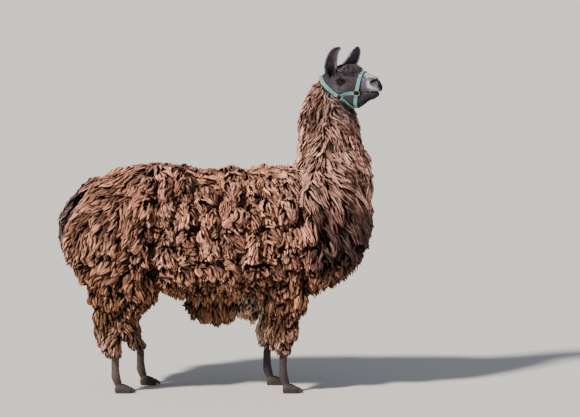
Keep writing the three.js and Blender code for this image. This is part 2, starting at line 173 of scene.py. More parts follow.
def normals_at(verts, tris):
    """Smooth normals at the corners of a triangle mesh."""
    a, b, c = verts[tris[:, 0]], verts[tris[:, 1]], verts[tris[:, 2]]
    face = np.cross(b - a, c - a)
    total = np.zeros_like(verts)
    for k in range(3):
        for axis in range(3):
            total[:, axis] += np.bincount(tris[:, k], face[:, axis], len(verts))
    return unit(total)


def unit(v):
    return v / np.maximum(np.linalg.norm(v, axis=-1, keepdims=True), 1e-12)


def laid(d, n):
    """Directions brought into the surface whose normals are n."""
    return unit(d - (d * n).sum(1, keepdims=True) * n)


def spun(d, n, turn):
    """Directions turned about the normals n by the angles turn."""
    return d * np.cos(turn)[:, None] + np.cross(n, d) * np.sin(turn)[:, None]


def reach_of(line):
    """How far along a line of points each point lies."""
    return np.concatenate([[0], np.cumsum(np.linalg.norm(np.diff(line, axis=0), axis=1))])


def at_reach(values, reach, at):
    """Values along a line, at distances along it."""
    return np.stack([np.interp(at, reach, values[:, i]) for i in range(3)], 1)


def relax(verts, edges, steps, share=0.5, keep=True):
    """Evens out a surface; with keep it doesn't shrink."""
    count = np.maximum(np.bincount(edges.ravel(), minlength=len(verts)), 1)[:, None]
    for step in range(steps * (2 if keep else 1)):
        mean = np.empty_like(verts)
        for axis in range(3):
            mean[:, axis] = (np.bincount(edges[:, 0], verts[edges[:, 1], axis], len(verts))
                             + np.bincount(edges[:, 1], verts[edges[:, 0], axis], len(verts)))
        pull = -share * 1.04 if keep and step % 2 else share
        verts = verts + pull * (mean / count - verts)
    return verts


def swollen(node, grow):
    """A frame node's corners and triangles, welded and grown along its normals."""
    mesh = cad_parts[node].data
    co, tri = points_of(mesh), triangles_of(mesh)
    _, first, inverse = np.unique(np.round(co, 5), axis=0, return_index=True, return_inverse=True)
    inverse = inverse.ravel()
    verts, tris = co[first], inverse[tri]
    return verts + grow * normals_at(verts, tris), tris


def joined(parts):
    """Several (corners, triangles) as one."""
    offsets = np.cumsum([0] + [len(v) for v, _ in parts[:-1]])
    return (np.concatenate([v for v, _ in parts]),
            np.concatenate([t + o for (_, t), o in zip(parts, offsets)]))


def tree_of(nodes):
    """The frame's surface of some nodes, to find the nearest place on."""
    return BVHTree.FromPolygons(*(a.tolist() for a in joined([swollen(n, 0.0) for n in nodes])))


def remesh(verts, tris, voxel):
    """The outer surface of overlapping closed meshes as one even mesh."""
    obj = add_object(make_mesh("remesh", verts, tris=tris))
    modifier = obj.modifiers.new("remesh", "REMESH")
    modifier.mode = "VOXEL"
    modifier.voxel_size = voxel
    depsgraph = bpy.context.evaluated_depsgraph_get()
    mesh = bpy.data.meshes.new_from_object(obj.evaluated_get(depsgraph))
    old = obj.data
    bpy.data.objects.remove(obj)
    bpy.data.meshes.remove(old)
    return mesh


def bump(x, middle, width):
    return np.exp(-((x - middle) / width) ** 2)


def ramp(x, low, high):
    """0 below low, 1 above high, smooth between."""
    t = np.clip((x - low) / (high - low), 0, 1)
    return t * t * (3 - 2 * t)


def resampled(path, t):
    """Points at shares t of the way along paths of even steps, on smooth curves."""
    steps = path.shape[1] - 1
    at = t * steps
    k = np.minimum(at.astype(int), steps - 1)
    f = (at - k)[None, :, None]
    padded = np.concatenate([2 * path[:, :1] - path[:, 1:2], path, 2 * path[:, -1:] - path[:, -2:-1]], 1)
    a, b, c, d = (padded[:, k + i] for i in range(4))
    return b + 0.5 * f * (c - a + f * (2 * a - 5 * b + 4 * c - d + f * (3 * (b - c) + d - a)))


class Waves:
    """Smooth noise in space: a sum of seeded waves, about -1 to 1."""

    def __init__(self, seed, size, count=24):
        draw = np.random.default_rng(seed)
        ways = unit(draw.normal(size=(count, 3)))
        self.ways = ways * draw.uniform(0.6, 1.7, (count, 1)) * 2 * math.pi / size
        self.phase = draw.uniform(0, 2 * math.pi, count)

    def __call__(self, p):
        return np.sin(p @ self.ways.T + self.phase).sum(-1) / math.sqrt(len(self.phase)) * 0.9


# ------------------------------------------------------------------ outline of the fleece
FURROWS = [-0.325, -0.122, 0.002, 0.112, 0.198, 0.388]  # upright partings on the sides
HULL_VOXEL = 0.009
WOOL_END = 0.205  # height at which the wool of the legs ends


def body_x(p):
    return p[..., 0] - SHIFT


class Lobes:
    """Hanging lobes of felted wool: a column of them between each two upright partings."""

    TALL = 0.135

    def __init__(self, seed):
        draw = np.random.default_rng(seed)
        edges = [-0.66, -0.50] + FURROWS + [0.52]
        seeds = []
        for side in (-1, 1):
            for left, right in zip(edges, edges[1:]):
                ways = max(1, round((right - left) / 0.125))
                for k in range(ways):
                    middle = left + (k + 0.5) * (right - left) / ways
                    start = 1.14 - draw.uniform(0, self.TALL)
                    for row in range(7):
                        jitter = draw.normal(0, (0.012, 0.020))
                        seeds.append((middle + jitter[0], side, start - row * self.TALL + jitter[1],
                                      (right - left) / ways / 2))
        self.seeds = np.array(seeds)
        self.tree = KDTree(len(seeds))
        for k, (x, y, z, _) in enumerate(seeds):
            self.tree.insert((x, y, z * 0.62), k)
        self.tree.balance()

    def query(self, p):
        """Lobe of each place, how far it is from that lobe's middle, and how far from the parting."""
        q = np.stack([body_x(p), np.sign(p[:, 1] + 1e-9), p[:, 2] * 0.62], 1)
        found = [self.tree.find_n(v, 2) for v in q.tolist()]
        first = np.array([f[0][1] for f in found])
        near = np.array([f[0][2] for f in found])
        gap = np.array([f[1][2] for f in found]) - near
        return first, near, gap


lobes = Lobes(9)


def hull_relief(p, n):
    """Height of the lobes, partings and lumps over the frame's smooth solids."""
    x, z = body_x(p), p[:, 2]
    wander = np.stack([0.014 * Waves(3, 0.20)(p), 0 * x, 0.020 * Waves(4, 0.20)(p)], 1)
    _, near, gap = lobes.query(p + wander)
    side = ramp(np.abs(n[:, 1]), 0.30, 0.75)
    barrel = ramp(x, -0.42, -0.30) * ramp(-x, -0.50, -0.40) * ramp(z, 0.42, 0.55)
    share = side * (0.35 + 0.65 * barrel) * ramp(z, 0.42, 0.55) * ramp(-x, -0.56, -0.50)
    relief = share * (0.012 * (1 - (near / 0.07) ** 2) - 0.026 * np.exp(-(gap / 0.014) ** 2))
    for k, furrow in enumerate(FURROWS):
        depth = 0.042 if k == 0 else 0.016
        reach = ramp(z, 0.55, 0.70) if k else 1.0
        relief -= depth * reach * side * np.exp(-np.abs((x + wander[:, 0] - furrow) / 0.016) ** 1.6)
    relief += 0.009 * Waves(5, 0.17)(p) + 0.005 * Waves(6, 0.08)(p)
    return np.clip(relief, -0.05, 0.02) * ramp(z, 0.20, 0.34) * ramp(-z, -1.55, -1.40)


def shank_top(leg):
    """The part of a shank that the wool hides, as a closed shape."""
    verts, tris = swollen(leg + "_shank", 0.004)
    verts[:, 2] = np.maximum(verts[:, 2], WOOL_END)
    return verts, tris


def hull_of(parts):
    solids = [swollen(n, 0.002) for n in parts] + [shank_top(leg) for leg in LEGS]
    mesh = remesh(*joined(solids), HULL_VOXEL)
    verts = relax(points_of(mesh), edges_of(mesh), 4)
    return mesh, verts


hull_mesh, hull_smooth = hull_of(FLEECE_NODES + ["head"])
hull_tris, hull_edges = triangles_of(hull_mesh), edges_of(hull_mesh)
smooth_normals = normals_at(hull_smooth, hull_tris)
hull = hull_smooth + smooth_normals * (hull_relief(hull_smooth, smooth_normals) - 0.006)[:, None]
hull_normals = unit(relax(normals_at(hull, hull_tris), hull_edges, 2, keep=False))

# ------------------------------------------------------------------ the skin
FRINGE_TOP = 0.475  # the skin's belly stays above this; only locks hang lower
SINK_STEPS = 8
COAT_VOXEL = 0.010
FOOT_VOXEL = 0.0040
FACE_VOXEL = 0.0024
NAIL_VOXEL = 0.0012
SWELL = 0.0006  # lets touching solids join when they are remeshed


def head_gap(p):
    """How far a place lies from the surface of the frame's head."""
    gap = np.full(len(p), 1.0)
    close = np.flatnonzero(p[:, 2] > 1.30)
    find = head_tree.find_nearest
    gap[close] = [find(q)[3] for q in p[close].tolist()]
    return gap


def coat_depth(p):
    """How far the skin lies inside the fleece's outline."""
    x, y, z = body_x(p), p[:, 1], p[:, 2]
    depth = np.full(len(p), 0.055)
    legs = 0.018 + 0.010 * ramp(z, 0.17, 0.40) + 0.027 * ramp(z, 0.42, 0.56)
    depth = np.where(z < 0.56, np.minimum(depth, legs), depth)
    neck = ramp(z, 1.05, 1.25) * ramp(x, 0.30, 0.40)
    depth -= neck * 0.030
    depth -= ramp(z, 1.34, 1.48) * 0.004
    depth = 0.006 + (depth - 0.006) * ramp(head_gap(p), 0.002, 0.026)
    tail = ramp(-x, 0.70, 0.745) * ramp(z, 0.72, 0.76) * ramp(0.12 - np.abs(y), 0, 0.05)
    return depth - tail * 0.026


head_tree = tree_of(["head"])
skin_body = hull_smooth.copy()
under = (skin_body[:, 2] < FRINGE_TOP) & (np.abs(skin_body[:, 1]) < 0.10)
under &= (body_x(skin_body) > -0.24) & (body_x(skin_body) < 0.20)
skin_body[under, 2] = FRINGE_TOP + 0.06 * (skin_body[under, 2] - FRINGE_TOP)
depth = coat_depth(skin_body)
for _ in range(SINK_STEPS):
    skin_body = skin_body - normals_at(skin_body, hull_tris) * (depth / SINK_STEPS)[:, None]
    skin_body = relax(skin_body, hull_edges, 2, keep=False)
# under the partings the skin sinks further, so that it stays below them
shallow = 0.45 * depth - ((hull - skin_body) * smooth_normals).sum(1)
skin_body = relax(skin_body - smooth_normals * np.maximum(shallow, 0)[:, None], hull_edges, 1, keep=False)


def remeshed_nodes(nodes, voxel):
    return remesh(*joined([swollen(n, SWELL) for n in nodes]), voxel)


body_mesh = remesh(skin_body, hull_tris, COAT_VOXEL)
feet_mesh = remeshed_nodes(FOOT_NODES, FOOT_VOXEL)
head_mesh = remeshed_nodes(["head", "eye_right", "eye_left"], FACE_VOXEL)


def evened(mesh, steps, sink):
    """Smooths away the facets of a remeshed piece and moves it inwards by sink."""
    tris, edges = triangles_of(mesh), edges_of(mesh)
    verts = relax(points_of(mesh), edges, steps)
    verts = verts - normals_at(verts, tris) * sink
    mesh.vertices.foreach_set("co", verts.astype(np.float32).ravel())
    mesh.update()
    return mesh


# ------------------------------------------------------------------ the face
EYE_RADIUS = 0.019
EYE_OUT = unit(np.array([0.30, 1.0, 0.10]))  # the way the left eye looks, in the head's frame
EYE_AHEAD = unit(np.array([1.0, -0.30, -0.16]))  # along the slit between the lids, towards the nose
EYE_HALF_SLIT = 0.0185
NOSTRIL_AT = np.array([0.260, 0.027, 0.033])  # where the frame's nostril is
NOSTRIL = [(0.238, 0.030), (0.250, 0.037), (0.264, 0.044), (0.274, 0.047)]  # its slit: ahead, up
CHEEK_CREASE = [(0.100, 0.018), (0.150, -0.004)]
MOUTH = [(0.196, -0.0220), (0.215, -0.0165), (0.240, -0.0170), (0.262, -0.0200), (0.290, -0.0200)]


def eye_axes(k):
    """Of the right (-1) or left (1) eye: its middle, the way it looks, ahead along its slit, and up."""
    mirror = np.array([1, k, 1])
    out = EYE_OUT * mirror
    ahead = unit(EYE_AHEAD * mirror - (EYE_AHEAD * mirror * out).sum() * out)
    return EYE_LOCAL * mirror, out, ahead, np.cross(ahead, out) * k


def lid_distance(q, k):
    """How far outside the slit between the lids a direction from the eye lies, and its height on the eye."""
    centre, out, ahead, up = eye_axes(k)
    away = q - centre
    reach = np.linalg.norm(away, axis=1)
    way = away / np.maximum(reach, 1e-9)[:, None]
    h = EYE_RADIUS * np.arctan2(way @ ahead, way @ out)
    v = EYE_RADIUS * np.arctan2(way @ up, way @ out)
    open_share = np.clip(1 - (h / EYE_HALF_SLIT) ** 2, 0, 1)
    upper = 0.0098 * open_share ** 0.75
    lower = -0.0082 * open_share ** 0.9
    beside = np.maximum(np.abs(h) - EYE_HALF_SLIT, 0)
    outside = np.maximum(v - upper, lower - v)
    return np.where(beside > 0, np.hypot(np.maximum(outside, 0), beside), outside), v, reach, way


def distance_to_line(x, z, points):
    """Distance in a plane from a line through points."""
    best = np.full(len(x), 9.0)
    for (x0, z0), (x1, z1) in zip(points, points[1:]):
        dx, dz = x1 - x0, z1 - z0
        t = np.clip(((x - x0) * dx + (z - z0) * dz) / (dx * dx + dz * dz), 0, 1)
        best = np.minimum(best, np.hypot(x - x0 - t * dx, z - z0 - t * dz))
    return best


def gap_from(q, at):
    """Distance from a place on the left of the head, or from its mirror image on the right."""
    return np.linalg.norm(q * np.array([1, 0, 1]) + np.abs(q) * np.array([0, 1, 0]) - at, axis=1)


def blob(q, at, size):
    """A smooth mound round a place, on both sides of the face."""
    d = (q - np.array(at)) / np.array(size)
    e = (q * np.array([1, -1, 1]) - np.array(at)) / np.array(size)
    return np.exp(-(d ** 2).sum(1)) + (np.exp(-(e ** 2).sum(1)) if at[1] else 0)


def face_relief(q, n):
    """Height of the features of the face over the frame's smooth head."""
    x, y, z = q.T
    side = ramp(np.abs(n[:, 1]), 0.15, 0.6)
    relief = 0.0040 * blob(q, (0.078, 0.058, 0.066), (0.026, 0.03, 0.013))  # brow
    relief += 0.0030 * blob(q, (0.085, 0.066, -0.002), (0.034, 0.03, 0.014))  # cheek bone
    relief -= 0.0045 * blob(q, (0.122, 0.052, 0.020), (0.022, 0.03, 0.014))  # hollow ahead of the eye
    relief -= 0.0035 * blob(q, (0.050, 0.060, 0.050), (0.014, 0.03, 0.020))  # temple
    relief += 0.0050 * blob(q, (0.050, 0.056, -0.040), (0.036, 0.03, 0.030))  # jaw muscle
    relief -= 0.0030 * blob(q, (0.125, 0.050, -0.045), (0.020, 0.03, 0.020))
    relief -= 0.0025 * blob(q, (0.160, 0.045, 0.045), (0.035, 0.02, 0.012))  # beside the nose bone
    relief += 0.0040 * blob(q, (0.248, 0.030, 0.004), (0.022, 0.02, 0.012))  # cushion of the upper lip
    relief += 0.0025 * blob(q, (0.246, 0.030, 0.050), (0.018, 0.02, 0.010))  # roof of the nostril
    relief += 0.0030 * blob(q, (0.244, 0.0, -0.052), (0.018, 0.022, 0.012))  # chin
    nostril = distance_to_line(x, z, NOSTRIL)
    inner = ramp(np.abs(y), 0.006, 0.013)
    relief -= 0.0085 * np.exp(-(nostril / 0.0042) ** 2) * inner * ramp(x, 0.225, 0.240)
    relief += 0.0022 * np.exp(-((nostril - 0.0085) / 0.0035) ** 2) * inner
    mouth = distance_to_line(x, z, MOUTH)
    reach = ramp(x, 0.190, 0.205)
    relief -= 0.0060 * np.exp(-(mouth / 0.0022) ** 2) * reach
    relief += 0.0020 * np.exp(-((mouth - 0.006) / 0.004) ** 2) * reach
    split = ramp(x, 0.235, 0.262) * ramp(z, -0.022, -0.012) * ramp(-z, -0.045, -0.020)
    relief -= 0.0045 * np.exp(-(y / 0.0028) ** 2) * split
    relief -= 0.0014 * side * np.exp(-(distance_to_line(x, z, CHEEK_CREASE) / 0.003) ** 2)
    return relief


def finer(mesh, close):
    """Splits each edge whose ends both lie where close(verts) is true."""
    verts = points_of(mesh)
    near = close(verts)
    work = bmesh.new()
    work.from_mesh(mesh)
    work.verts.ensure_lookup_table()
    edges = [e for e in work.edges if near[e.verts[0].index] and near[e.verts[1].index]]
    bmesh.ops.subdivide_edges(work, edges=edges, cuts=1, use_grid_fill=True)
    bmesh.ops.triangulate(work, faces=[f for f in work.faces if len(f.verts) > 4])
    work.to_mesh(mesh)
    work.free()
    return mesh


def near_features(verts):
    q = to_head(verts)
    return (gap_from(q, EYE_LOCAL) < 0.034) | (q[:, 0] > 0.192)


def sculpted(mesh):
    """Gives the head its lids, nostrils, mouth and the forms of the face."""
    tris, edges = triangles_of(mesh), edges_of(mesh)
    verts = relax(points_of(mesh), edges, 3)
    q = to_head(verts)
    even = relax(verts, edges, 60, keep=False)  # fills the frame's nostril, which is cut anew
    verts = verts + (even - verts) * ramp(-gap_from(q, NOSTRIL_AT), -0.020, -0.012)[:, None]
    normals = unit(relax(normals_at(verts, tris), edges, 6, keep=False))
    q = to_head(verts)
    q = q + (normals @ HEAD_AXES.T) * face_relief(q, normals @ HEAD_AXES.T)[:, None]
    for k in (-1, 1):
        centre = eye_axes(k)[0]
        off, v, reach, way = lid_distance(q, k)
        lid = 0.0204 + 0.0012 * ramp(off, 0.0, 0.0025) - 0.0010 * bump(off, 0.0075, 0.0020) * (v > 0)
        hidden = 0.0150
        radius = hidden + (lid - hidden) * ramp(off, -0.0018, 0.0004)
        hold = ramp(-off, -0.0165, -0.0060) * (reach < 0.036)
        q = np.where((hold > 0)[:, None], centre + way * (reach + hold * (radius - reach))[:, None], q)
    mesh.vertices.foreach_set("co", from_head(q).astype(np.float32).ravel())
    mesh.update()
    return mesh


# ------------------------------------------------------------------ the ears
# Each ear: the way its hollow faces, and its middle (ahead, left, up), half width and half depth
EAR_STATIONS = {
    -1: ((0.42, -0.90, 0.0), [
        (0.021, -0.028, 0.020, 0.013, 0.011), (0.024, -0.042, 0.050, 0.023, 0.017),
        (0.029, -0.052, 0.088, 0.030, 0.019), (0.034, -0.059, 0.120, 0.029, 0.018),
        (0.043, -0.062, 0.152, 0.026, 0.015), (0.057, -0.057, 0.181, 0.018, 0.011),
        (0.080, -0.048, 0.199, 0.005, 0.004)]),
    1: ((0.72, -0.69, 0.0), [
        (0.030, 0.028, 0.020, 0.012, 0.011), (0.042, 0.042, 0.050, 0.020, 0.016),
        (0.068, 0.052, 0.090, 0.029, 0.019), (0.095, 0.058, 0.122, 0.031, 0.018),
        (0.111, 0.060, 0.152, 0.028, 0.015), (0.123, 0.056, 0.181, 0.019, 0.011),
        (0.130, 0.048, 0.199, 0.005, 0.004)]),
}
EAR_WALL = 0.0026
EAR_OPEN = math.radians(112)
EAR_ACROSS = 22
EAR_ALONG = 42
EAR_FREE = 10  # rows before this one are sunk in the head


def ear_rows(k):
    """Rows of an ear from its base to its tip: middle, half width, half depth, and its three ways."""
    hollow, stations = EAR_STATIONS[k]
    rows = resampled(np.array([stations]), np.linspace(0, 1, EAR_ALONG))[0]
    middle, half, deep = rows[:, :3], rows[:, 3], rows[:, 4]
    way = unit(np.gradient(middle, axis=0))
    hollow = unit(np.array(hollow) - (way @ np.array(hollow))[:, None] * way)
    return middle, half, deep, way, hollow, np.cross(way, hollow)


def ear_mesh(k):
    """A cupped leaf with a thin wall, closed at the rim, the base and the tip."""
    middle, half, deep, _, hollow, across = ear_rows(k)
    share = np.linspace(0, 1, EAR_ALONG)
    turn = np.linspace(-1, 1, EAR_ACROSS)
    spread = EAR_OPEN + math.radians(66) * (1 - ramp(share, 0.16, 0.42))  # nearly closed at the base
    spread = spread - math.radians(20) * ramp(share, 0.6, 0.96)
    angle = turn[None] * spread[:, None]
    sheets = []
    for wall in (0, 1):
        w = np.maximum(half - wall * EAR_WALL, 0.0012)[:, None]
        d = np.maximum(deep - wall * EAR_WALL, 0.0010)[:, None]
        a = angle * (1 - 0.03 * wall)
        sheets.append(middle[:, None] + across[:, None] * (w * np.sin(a))[:, :, None]
                      - hollow[:, None] * (d * np.cos(a))[:, :, None])
    outer, inner = sheets
    ring = np.concatenate([outer, inner[:, ::-1]], 1)  # round the wall of each row
    around = ring.shape[1]
    i = np.arange(EAR_ACROSS - 1)
    first = np.stack([i, around - 1 - i, around - 2 - i, i + 1], 1)
    last = first[:, ::-1] + (EAR_ALONG - 1) * around
    quads = np.concatenate([tube_quads(EAR_ALONG, around), first, last])
    verts = from_head(ring.reshape(-1, 3))
    if inside_out(verts, quads):
        quads = quads[:, ::-1]
    return make_mesh("ear", verts, quads=quads)


evened(body_mesh, 4, 0)
evened(feet_mesh, 9, 0.001)
evened(head_mesh, 6, 0.0015)
finer(head_mesh, near_features)
sculpted(head_mesh)


def union(meshes, name):
    """Overlapping closed meshes as one object with one outer surface."""
    base = add_object(meshes[0], name)
    others = [add_object(mesh, "other") for mesh in meshes[1:]]
    for k, other in enumerate(others):
        modifier = base.modifiers.new("join%d" % k, "BOOLEAN")
        modifier.operation = "UNION"
        modifier.solver = "MANIFOLD"
        modifier.object = other
    depsgraph = bpy.context.evaluated_depsgraph_get()
    made = bpy.data.meshes.new_from_object(base.evaluated_get(depsgraph))
    for other in others:
        bpy.data.objects.remove(other)
    base.modifiers.clear()
    base.data = made
    return base


head_points, head_tris = points_of(head_mesh), triangles_of(head_mesh)
ear_meshes = {k: ear_mesh(k) for k in (-1, 1)}
ear_points = {k: (points_of(m), triangles_of(m)) for k, m in ear_meshes.items()}
foot_points, foot_tris = points_of(feet_mesh), triangles_of(feet_mesh)
skin = union([body_mesh, feet_mesh, head_mesh, *ear_meshes.values()], "skin")


def unwrap(obj):
    """An unwrap of the object's own shape into islands, as its map OFBake."""
    obj.data.uv_layers.new(name="OFBake")
    bpy.context.view_layer.objects.active = obj
    obj.select_set(True)
    bpy.ops.object.mode_set(mode="EDIT")
    bpy.ops.mesh.select_all(action="SELECT")
    bpy.ops.uv.smart_project(angle_limit=math.radians(72), island_margin=0.002)
    bpy.ops.object.mode_set(mode="OBJECT")
    obj.select_set(False)


unwrap(skin)
shade_smooth(skin.data)
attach(skin, "root")
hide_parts(*FLESH)


# ------------------------------------------------------------------ surfaces that locks lie on
class Surface:
    """A triangle mesh that answers where its nearest point is."""

    def __init__(self, verts, tris, normals=None):
        self.verts, self.tris = verts, tris
        self.normals = normals_at(verts, tris) if normals is None else normals
        self.tree = BVHTree.FromPolygons(verts.tolist(), tris.tolist())

    def nearest(self, points):
        """Nearest places, smooth normals there, and their triangles."""
        find = self.tree.find_nearest
        hits = [find(p) for p in points.tolist()]
        place = np.array([h[0] for h in hits])
        index = np.array([h[2] for h in hits])
        shares = self.shares(place, index)
        return place, unit((self.normals[self.tris[index]] * shares[:, :, None]).sum(1)), index

    def shares(self, p, index):
        """Barycentric shares of points on their triangles."""
        a, b, c = (self.verts[self.tris[index, k]] for k in range(3))
        ab, ac, ap = b - a, c - a, p - a
        d00, d01, d11 = (ab * ab).sum(1), (ab * ac).sum(1), (ac * ac).sum(1)
        d20, d21 = (ap * ab).sum(1), (ap * ac).sum(1)
        scale = np.maximum(d00 * d11 - d01 * d01, 1e-18)
        v = np.clip((d11 * d20 - d01 * d21) / scale, 0, 1)
        w = np.clip((d00 * d21 - d01 * d20) / scale, 0, 1)
        return np.stack([np.clip(1 - v - w, 0, 1), v, w], 1)

    def scatter(self, spacing, where, draw):
        """Random places at least about one spacing apart, kept where where(p, n) is true."""
        a, b, c = (self.verts[self.tris[:, k]] for k in range(3))
        area = np.linalg.norm(np.cross(b - a, c - a), axis=1) / 2
        middle = (a + b + c) / 3
        good = where(middle, self.normals[self.tris[:, 0]])
        area = area * good
        count = int(area.sum() / spacing ** 2 * 6) + 8
        pick = draw.choice(len(area), count, p=area / area.sum())
        u, v = draw.uniform(size=(2, count, 1))
        flip = u + v > 1
        u, v = np.where(flip, 1 - u, u), np.where(flip, 1 - v, v)
        p = a[pick] + u * (b[pick] - a[pick]) + v * (c[pick] - a[pick])
        return p[thinned(p, spacing * 0.80)]


def thinned(p, gap):
    """Indices of points that keep a gap from one another."""
    cells = {}
    kept = []
    keys = np.floor(p / gap).astype(int)
    for i, (q, (kx, ky, kz)) in enumerate(zip(p.tolist(), keys.tolist())):
        near = (cells.get((kx + dx, ky + dy, kz + dz), ())
                for dx in (-1, 0, 1) for dy in (-1, 0, 1) for dz in (-1, 0, 1))
        if all((q[0] - o[0]) ** 2 + (q[1] - o[1]) ** 2 + (q[2] - o[2]) ** 2 > gap * gap
               for cell in near for o in cell):
            cells.setdefault((kx, ky, kz), []).append(q)
            kept.append(i)
    return kept


fleece = Surface(hull, hull_tris, hull_normals)
hull_sunk = ((hull - hull_smooth) * smooth_normals).sum(1)
skin_tris = triangles_of(skin.data)
skin_loops = np.empty(len(skin_tris) * 3, np.int32)
skin.data.loop_triangles.foreach_get("loops", skin_loops)
skin_loops = skin_loops.reshape(-1, 3)
skin_map = np.empty(len(skin.data.loops) * 2, np.float32)
skin.data.uv_layers["OFBake"].data.foreach_get("uv", skin_map)
skin_map = skin_map.reshape(-1, 2)
skin_surface = Surface(points_of(skin.data), skin_tris)
face = Surface(head_points, head_tris)


# ------------------------------------------------------------------ lie of the coat
flow_waves = [Waves(21, 0.42), Waves(22, 0.13), Waves(23, 0.15)]


def lie(p, n, side):
    """Which way the coat falls: a unit direction along the surface. side is -1 or 1, from the spine."""
    x, z = body_x(p), p[:, 2]

    def way(dx, dy, dz):
        return np.stack(np.broadcast_arrays(dx, dy, dz, np.zeros_like(x))[:3], 1)

    d = way(-0.05, 0.0, -1.0)
    rump = ramp(-x, 0.27, 0.42) * ramp(z, 0.50, 0.62)
    high = ramp(z, 0.78, 1.05)
    d = d + rump[:, None] * (way(-0.55 - 0.45 * high, 0, -0.85 + 0.30 * high) - d)
    shoulder = ramp(x, 0.13, 0.30) * ramp(z, 0.62, 0.85)
    d = d + shoulder[:, None] * (way(0.50, 0, -0.85) - d)
    neck = ramp(x, 0.28, 0.38) * ramp(z, 1.02, 1.15)
    nape = ramp(-n[:, 0], 0.05, 0.55)
    throat = way(0.62, 0, -0.80)
    d = d + neck[:, None] * (throat + nape[:, None] * (way(-0.40, 0, -0.92) - throat) - d)
    legs = ramp(-z, -0.52, -0.36)
    d = d + legs[:, None] * (way(0.0, 0, -1.0) - d)
    top = ramp(n[:, 2], 0.35, 0.85) * (1 - neck)
    d = d + top[:, None] * way(-0.25, 0.85 * side, 0)
    turn = 0.30 * flow_waves[0](p) + 0.22 * flow_waves[1](p)
    matted = ramp(x, -0.36, -0.28) * ramp(-x, -0.34, -0.24) * ramp(z, 0.50, 0.62)
    return spun(laid(d, n), n, turn + matted * (0.80 * flow_waves[2](p) - 0.35 * side))


DROOP = 0.3  # the part of a lock that hangs free keeps this share of its length


def side_of(p):
    return np.sign(p[:, 1] + 0.012 * flow_waves[0](p) + 1e-9)


def trace(surface, roots, length, steps, turn, hang=0.35, way=None):
    """Paths that start at the roots and follow the lie of the coat, hanging free under overhangs."""
    place, normal, _ = surface.nearest(roots)
    side = side_of(roots)
    free = np.zeros(len(roots), bool)
    step = (length / steps)[:, None]
    paths, normals, frees = [place], [normal], [free]
    heading = None
    for _ in range(steps):
        d = spun((way or lie)(place, normal, side), normal, turn)
        free = free | (normal[:, 2] < -hang)
        if heading is not None:
            down = unit(heading + np.array([0, 0, -0.7]))
            d = np.where(free[:, None], down, d)
        moved = place + d * step * np.where(free, DROOP, 1.0)[:, None]
        onto, facing, _ = surface.nearest(moved)
        place = np.where(free[:, None], moved, onto)
        normal = np.where(free[:, None], normal, facing)
        heading = d
        paths.append(place)
        normals.append(normal)
        frees.append(free)
    return np.stack(paths, 1), np.stack(normals, 1), np.stack(frees, 1)


# ------------------------------------------------------------------ locks
SECTION = np.array([(-1.0, -0.8), (-0.45, 0.8), (0.45, 0.8), (1.0, -0.8)])  # across and up, from the left
# painted light on each lock: its two lower side corners darker as painted shade, its two top corners lighter
# as a painted highlight
SECTION_SHADE_AND_HIGHLIGHT = np.array([-0.40, 0.15, 0.15, -0.40])
PATCH = 0.003  # side of a lock's patch on the map OFBake
TRACE_STEPS = 8
SHED = 0.10  # how unevenly single locks turn from the lie of the coat, in radians
ARCH = 0.03  # how far the crimps bow down at the sides of a lobe
# tips: the share of the lock that the tip takes, its end's size, and how round it is
POINTED = (0.55, 0.10, 1.4)
ROUNDED = (0.40, 0.12, 1.7)
TUFT_TIP = (0.7, 0.08, 1.3)
NEVER = 2.0  # no surface faces down this far, so nothing hangs free


class Coat:
    """Gathers locks as closed four-sided tubes, to be split into named pieces."""

    def __init__(self):
        self.parts = []

    def add(self, group, centre, normal, half_width, half_thick, tone, seed, uv, mark, edge_shade=1.0):
        """centre, normal: (locks, rings, 3); half sizes and tone: (locks, rings)."""
        locks, rings = centre.shape[:2]
        along = unit(np.gradient(centre, axis=1))
        up = unit(normal - (normal * along).sum(2, keepdims=True) * along)
        across = np.cross(along, up)
        w, h = half_width[:, :, None], half_thick[:, :, None]
        # painted shade at the sides and a painted highlight on the top of each lock, weighted by the edge
        # factor
        tone = np.clip(tone[:, :, None] + edge_shade * SECTION_SHADE_AND_HIGHLIGHT, 0, 1.3)
        corners = np.stack([centre + across * w * x + up * h * y for x, y in SECTION], 2)
        reach = np.cumsum(np.linalg.norm(np.diff(centre, axis=1, prepend=centre[:, :1]), axis=2), 1)
        fibre = np.stack([
            w * SECTION[:, 0],
            np.repeat(reach[:, :, None], 4, 2),
            np.broadcast_to(seed[:, None, None], (locks, rings, 4)),
        ], 3)
        # the steep curve deepens the painted shade and brightens the painted highlights of the locks
        self.parts.append(dict(group=group, verts=corners, fibre=fibre, uv=uv, tone=0.05 + 2.5 * tone ** 1.8,
                               mark=mark))

    def pieces(self):
        """For each piece: name, corners and faces, then fibre, tone, colour and place on the map."""
        names = sorted({g for part in self.parts for g in np.unique(part["group"])})
        for name in names:
            verts, quads, fibre, tone, mark, patch = [], [], [], [], [], []
            base = 0
            for part in self.parts:
                pick = np.flatnonzero(part["group"] == name)
                if not len(pick):
                    continue
                v = part["verts"][pick]
                locks, rings = v.shape[:2]
                last = (rings - 1) * 4
                ends = [[0, 1, 2, 3], [last + 3, last + 2, last + 1, last]]
                tube = np.concatenate([tube_quads(rings, 4)[:, ::-1], ends])
                starts = base + np.arange(locks)[:, None, None] * rings * 4
                quads.append((starts + tube[None]).reshape(-1, 4))
                verts.append(v.reshape(-1, 3))
                fibre.append(part["fibre"][pick].reshape(-1, 3))
                tone.append(part["tone"][pick].reshape(-1))
                mark.append(np.broadcast_to(part["mark"][pick][:, None, None, :], v.shape).reshape(-1, 3))
                along = np.repeat(np.arange(rings) / (rings - 1), 4)
                spread = np.stack([np.tile(np.arange(4), rings) % 2, along], 1)
                patch.append((part["uv"][pick][:, None, :] + PATCH * (spread[None] - 0.5)).reshape(-1, 2))
                base += locks * rings * 4
            yield name, *(np.concatenate(a) for a in (verts, quads, fibre, tone, mark, patch))


coat = Coat()


